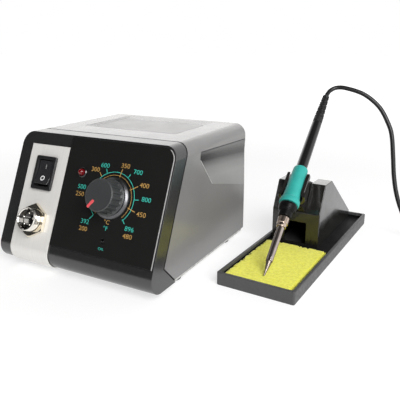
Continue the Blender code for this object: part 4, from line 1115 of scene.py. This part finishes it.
def stand_tray():
    w, d, h = TRAY
    tray = prism("tray_body", rounded(rectangle((0, 0), (w, d)), 1.8, 6), 0, h, STAND)
    bevel(tray, 0.5, 3, 50)

    def inside(gap):
        return rectangle((TRAY_WALL + gap,) * 2, (w - TRAY_WALL - gap, d - TRAY_WALL - gap))

    pocket = rounded(inside(0), 1.4, 5)
    carve(tray, prism("tray_pocket", pocket, TRAY_FLOOR, h + 5, STAND))
    unite(tray, box("tray_rib", (1, 86.4, 1), (w - 1, 87.6, 5.0), STAND))
    carve(tray, box("corner_notch", (w - 8.0, d - TRAY_WALL - 2, h - 2.2),
                    (w - 4.2, d - TRAY_WALL + 1.2, h + 2), STAND))
    bevel(tray, 0.22, 2, 55)
    finish(tray, "tray", "stand_tray")
    # Matt black band inside the tray's walls: painted shade for the shadow there.
    wall_shade = prism("tray_wall_shade", inside(0.05), TRAY_FLOOR + 0.2, h - 2.4, STAND)
    carve(wall_shade, prism("wall_shade_inside", inside(0.45), 0, h + 5, STAND))
    finish(wall_shade, "matt_casting")


def cleaning_sponge():
    """Compressed sponge with pores in its top, and a torn edge at its left and rear."""
    side = TRAY_WALL + 0.9
    (left, right), (front, rear) = (side, TRAY[0] - side - 1.8), SPONGE_Y
    step = 0.7
    columns, rows = round((right - left) / step), round((rear - front) / step)
    bm = bmesh.new()

    def torn(place, seed):
        """How far the edge is torn in at a place along it."""
        wide = noise.noise(Vector((place * 0.13, seed, 0)))
        tooth = noise.noise(Vector((place * 0.4, seed + 9, 0)))
        return 0.4 + max(0.0, 1.6 * wide) + 2.4 * ease(tooth, 0.06, 0.3)

    def place(i, j, top):
        u, v = i / columns, j / rows
        x0, y1 = left + torn(j * step, 3), rear - torn(i * step, 7)
        x1, y0 = right - 0.15 * torn(j * step, 12), front + 0.15 * torn(i * step, 15)
        x, y = x0 + (x1 - x0) * u, y0 + (y1 - y0) * v
        if not top:
            return (x, y, TRAY_FLOOR + 0.3)
        rim = min(i, columns - i, j, rows - j) * step
        pore = noise.noise(Vector((x * 0.9, y * 0.9, 0.5)))
        fine = noise.noise(Vector((x * 2.2, y * 2.2, 4.5)))
        swell = 0.1 * noise.noise(Vector((x * 0.05, y * 0.05, 2.0)))
        dip = 0.35 * ease(pore, 0.25, 0.6) + 0.22 * ease(fine, 0.2, 0.6)
        edge = 0.7 * (1 - ease(rim, -0.1, 1.6))
        return (x, y, SPONGE_TOP - 0.2 + swell - dip - edge)

    grid = [[bm.verts.new(place(i, j, True)) for j in range(rows + 1)] for i in range(columns + 1)]
    for i in range(columns):
        for j in range(rows):
            bm.faces.new((grid[i][j], grid[i + 1][j], grid[i + 1][j + 1], grid[i][j + 1]))
    border = [(i, 0) for i in range(columns)] + [(columns, j) for j in range(rows)]
    border += [(i, rows) for i in range(columns, 0, -1)] + [(0, j) for j in range(rows, 0, -1)]
    foot = [bm.verts.new(place(i, j, False)) for i, j in border]
    for index, (i, j) in enumerate(border):
        after = (index + 1) % len(border)
        beside = grid[border[after][0]][border[after][1]]
        bm.faces.new((grid[i][j], foot[index], foot[after], beside))
    bm.faces.new(foot)
    sponge = new_piece("sponge_pad", bm, STAND)
    finish(sponge, "sponge", "sponge", smooth=60, flat_faces=False)


def block_outline():
    (y0, y1), (t0, t1) = BLOCK_Y, BLOCK_TOP_Y
    return [(y0, BLOCK_LOW), (y0, BLOCK_KNEE), (t0, BLOCK_TOP), (t1, BLOCK_TOP),
            (y1, BLOCK_TAIL_Z), (y1, BLOCK_LOW)]


def holder_block():
    (x0, x1), (y0, y1) = BLOCK_X, BLOCK_Y
    block = side_prism("holder_casting", block_outline(), x0, x1, STAND)
    bevel(block, 0.7, 3, 15)
    middle, half = (NOTCH_X[0] + NOTCH_X[1]) / 2, (NOTCH_X[1] - NOTCH_X[0]) / 2
    above, bend = BLOCK_TOP + 9, NOTCH_FLOOR + 5
    valley = [(middle - half, above), (middle - half, bend)]
    valley += arc((middle, NOTCH_FLOOR + half * 0.55), half, 205, 335, 14)
    valley += [(middle + half, bend), (middle + half, above)]
    notch = [(x, max(z, NOTCH_FLOOR)) for x, z in valley]
    carve(block, front_prism("holder_notch", notch, y0 - 10, y1, STAND))
    wall, edge = 2.6, TRAY_WALL + 0.6
    hollow = [(y0 + wall, -5), (y0 + wall, 35), (150, 35), (y1 - wall, 12.2), (y1 - wall, -5)]
    carve(block, side_prism("holder_hollow", hollow, x0 + wall, x1 - wall, STAND))
    mouth = rounded(rectangle((MOUTH_X[0], 7.0), (MOUTH_X[1], MOUTH_TOP)), 1.2)
    carve(block, front_prism("holder_mouth", mouth, y0 - 9, y0 + 9, STAND))
    # Raised base round the block, made matt black: painted shade for the shadow on the tray floor.
    base = rounded(rectangle((edge, 88.0), (TRAY[0] - edge, TRAY[1] - edge)), 1.0)
    foot = prism("holder_foot", base, BLOCK_LOW, 6.4, STAND)
    carve(foot, box("foot_window", (x0 + wall, y0 + wall, 0), (x1 - wall, y1 - wall, 9), STAND))
    bevel(foot, 0.4, 2, 50)
    bevel(block, 0.3, 2, 40)
    finish(block, "casting", "holder_block", smooth=30)
    finish(foot, "matt_casting")


def cradle():
    """Trough for the grip, open on the side where the iron lifts out."""
    low, high, inner, outer, lip = 74.0, 98.0, 7.4, 9.8, 1.8
    profile = [(inner, high), (outer, high), (outer, low + 5), (outer + lip, low),
               (inner + lip, low), (inner, low + 4)]
    trough = lathe("cradle_trough", profile, IRON, 96, closed=True, soften=0.6)
    carve(trough, box("opening", (-20, -30, low - 3), (20, -2.2, high + 3), IRON))
    middle, half = (NOTCH_X[0] + NOTCH_X[1]) / 2, (NOTCH_X[1] - NOTCH_X[0]) / 2 - 0.4
    web = [(81.0, 47.2), (92.5, 37.4), (92.5, NOTCH_FLOOR + 0.3), (118, NOTCH_FLOOR + 0.3),
           (118, 56.0), (103, 62.0), (97.0, 64.0)]
    web_piece = side_prism("cradle_web", web, middle - half, middle + half, STAND)
    carve(web_piece, drill(IRON, inner, low - 10, high + 30))
    unite(trough, web_piece)
    bevel(trough, 0.4, 2, 40)
    finish(trough, "casting", "cradle", smooth=35)


# ---- iron

def slot_cutter(x0, x1, half, z0, z1, turn):
    return box("slot", (x0, -half, z0), (x1, half, z1), shifted(IRON, turn=turn))


def iron_metal():
    bit = [(0, 0), (0.35, 0.1), (0.5, 0.6), (1.0, 4.5), (2.2, 11.6), (2.3, 12.2), (2.3, 40),
           (1.7, 40), (1.7, 16), (0, 15)]
    finish(lathe("tip_bit", bit, IRON, 40, soften=0.3), "tinned", "iron_tip", "iron")
    barrel = [(2.62, 56.0), (2.9, 56.0), (2.9, 15.8), (2.75, 12.6), (2.62, 12.6)]
    finish(lathe("tip_barrel", barrel, IRON, 40, closed=True, soften=0.1), "steel",
           "barrel_tube", "iron")
    low, high, bore = 44.0, 53.2, 3.2
    nut = [(bore, high), (4.3, high), (4.5, high - 0.4), (4.5, low + 3.4), (3.9, low + 3.0),
           (3.9, low + 0.4), (3.5, low), (bore, low)]
    nut = lathe("retaining_nut", nut, IRON, 48, closed=True, soften=0.15)
    for index in range(8):
        carve(nut, slot_cutter(4.1, 6, 0.55, low + 4.0, high + 1, index * 45))
    finish(nut, "warm_steel", "barrel_nut", "nut")


def iron_handle():
    collar = [(3.2, 66.8), (4.9, 66.8), (4.9, 65.7), (7.3, 65.7), (7.5, 63.8), (6.9, 60.3),
              (6.3, 59.9), (6.3, 59.2), (5.6, 58.8), (5.3, 54.1), (4.9, 53.6), (3.2, 53.6)]
    finish(lathe("front_collar", collar, IRON, 56, closed=True, soften=0.35), "collar",
           "nose_collar", "iron")
    sleeve = [(5.0, 104.0), (5.7, 104.0), (6.2, 103.1), (6.3, 101.5), (6.6, 92), (6.85, 78),
              (7.0, 73.6), (7.05, 72.6), (6.75, 72.2), (6.75, 71.7), (7.7, 71.4), (8.1, 70.8),
              (8.35, 69.2), (8.35, 67.0), (8.0, 66.2), (5.2, 66.0), (5.2, 67.1), (5.0, 67.1)]
    finish(lathe("grip_cover", sleeve, IRON, 64, closed=True, soften=0.5), "grip",
           "grip_sleeve", "iron")
    body = [(2.4, 158.0), (3.9, 158.0), (4.3, 157.4), (4.4, 150), (4.7, 110), (4.7, 67.4),
            (3.2, 67.4), (3.2, 150), (2.4, 153)]
    finish(lathe("handle_tube", body, IRON, 56, closed=True, soften=0.4), "shiny",
           "handle", "iron")


def strain_relief():
    """Tapered sleeve. Its ribs are slotted, with the slots staggered from rib to rib."""
    low, high = 158.4, 192.0
    steps, pitch, count = 48, 2.9, 9

    def ring(radius, z, rib=None):
        def slot(i):
            phase = (4 * i / steps + 0.5 * rib) % 1.0
            return 0.75 * ease(abs(phase - 0.5), 0.2, 0.12)

        return circle(radius, z, steps, None if rib is None else slot)

    rings = [[(0, 0, high - 1.2)], ring(2.2, high - 1.2), ring(2.25, high), ring(2.7, high),
             ring(2.9, high - 0.3), ring(3.0, high - 1.0)]
    for index in range(count):
        top = high - 1.6 - index * pitch
        radius = 3.0 + 1.05 * (index + 1) / count
        rings += [ring(radius - 0.55, top), ring(radius - 0.5, top - 0.7, index),
                  ring(radius, top - 0.95, index), ring(radius + 0.02, top - 2.3, index),
                  ring(radius - 0.5, top - 2.55, index)]
    rings += [ring(4.1, low + 5.0), ring(4.15, low + 0.6), ring(3.9, low), [(0, 0, low)]]
    finish(loft("relief_sleeve", rings, IRON), "rubber", "strain_relief", "iron",
           smooth=38)


# ---- pieces that keep their CAD shape

def dress_cad_nodes():
    kept = {
        "zinc": ("base_plate", "heatsink", "transformer_bracket"), "cover": ("rear_panel",),
        "steel": ("pot_body", "pot_shaft", *("rear_screw_%d" % n for n in range(1, 5))),
        "chrome": ("pot_nut",), "black": ("cal_trimmer", "triac", "mains_inlet", "fuse_drawer"),
        "dark_steel": ("trimmer_rotor",), "board": ("control_board",),
        "shiny": ("filter_capacitor",), "core": ("transformer_core",), "ceramic": ("heater",),
        "winding": ("transformer_coil",), "fuse_glass": ("fuse",),
        "rubber": ["rubber_foot_%d" % n for n in range(1, 5)],
    }
    for mat, nodes in kept.items():
        for node in nodes:
            obj = frame["nodes"][node]
            obj.data.materials.clear()
            obj.data.materials.append(MATERIALS[mat])
    for node in ("base_plate", "rear_panel", "mains_inlet", "fuse_drawer", "cal_trimmer"):
        mod = frame["nodes"][node].modifiers.new("soft_edges", "BEVEL")
        mod.width, mod.segments = 0.25 * MM, 2
        mod.limit_method, mod.angle_limit = "ANGLE", math.radians(50)


make_materials()
make_camera()
make_studio()
cord_plug()
iron_cord()
housing_cover()
recess_floor()
seam_lip()
front_bezel()
connector_strip()
panel_overlay()
film_edge_highlight()
panel_print()
power_switch()
iron_socket()
power_lamp()
fluted_knob()
stand_tray()
cleaning_sponge()
holder_block()
cradle()
iron_metal()
iron_handle()
strain_relief()
dress_cad_nodes()
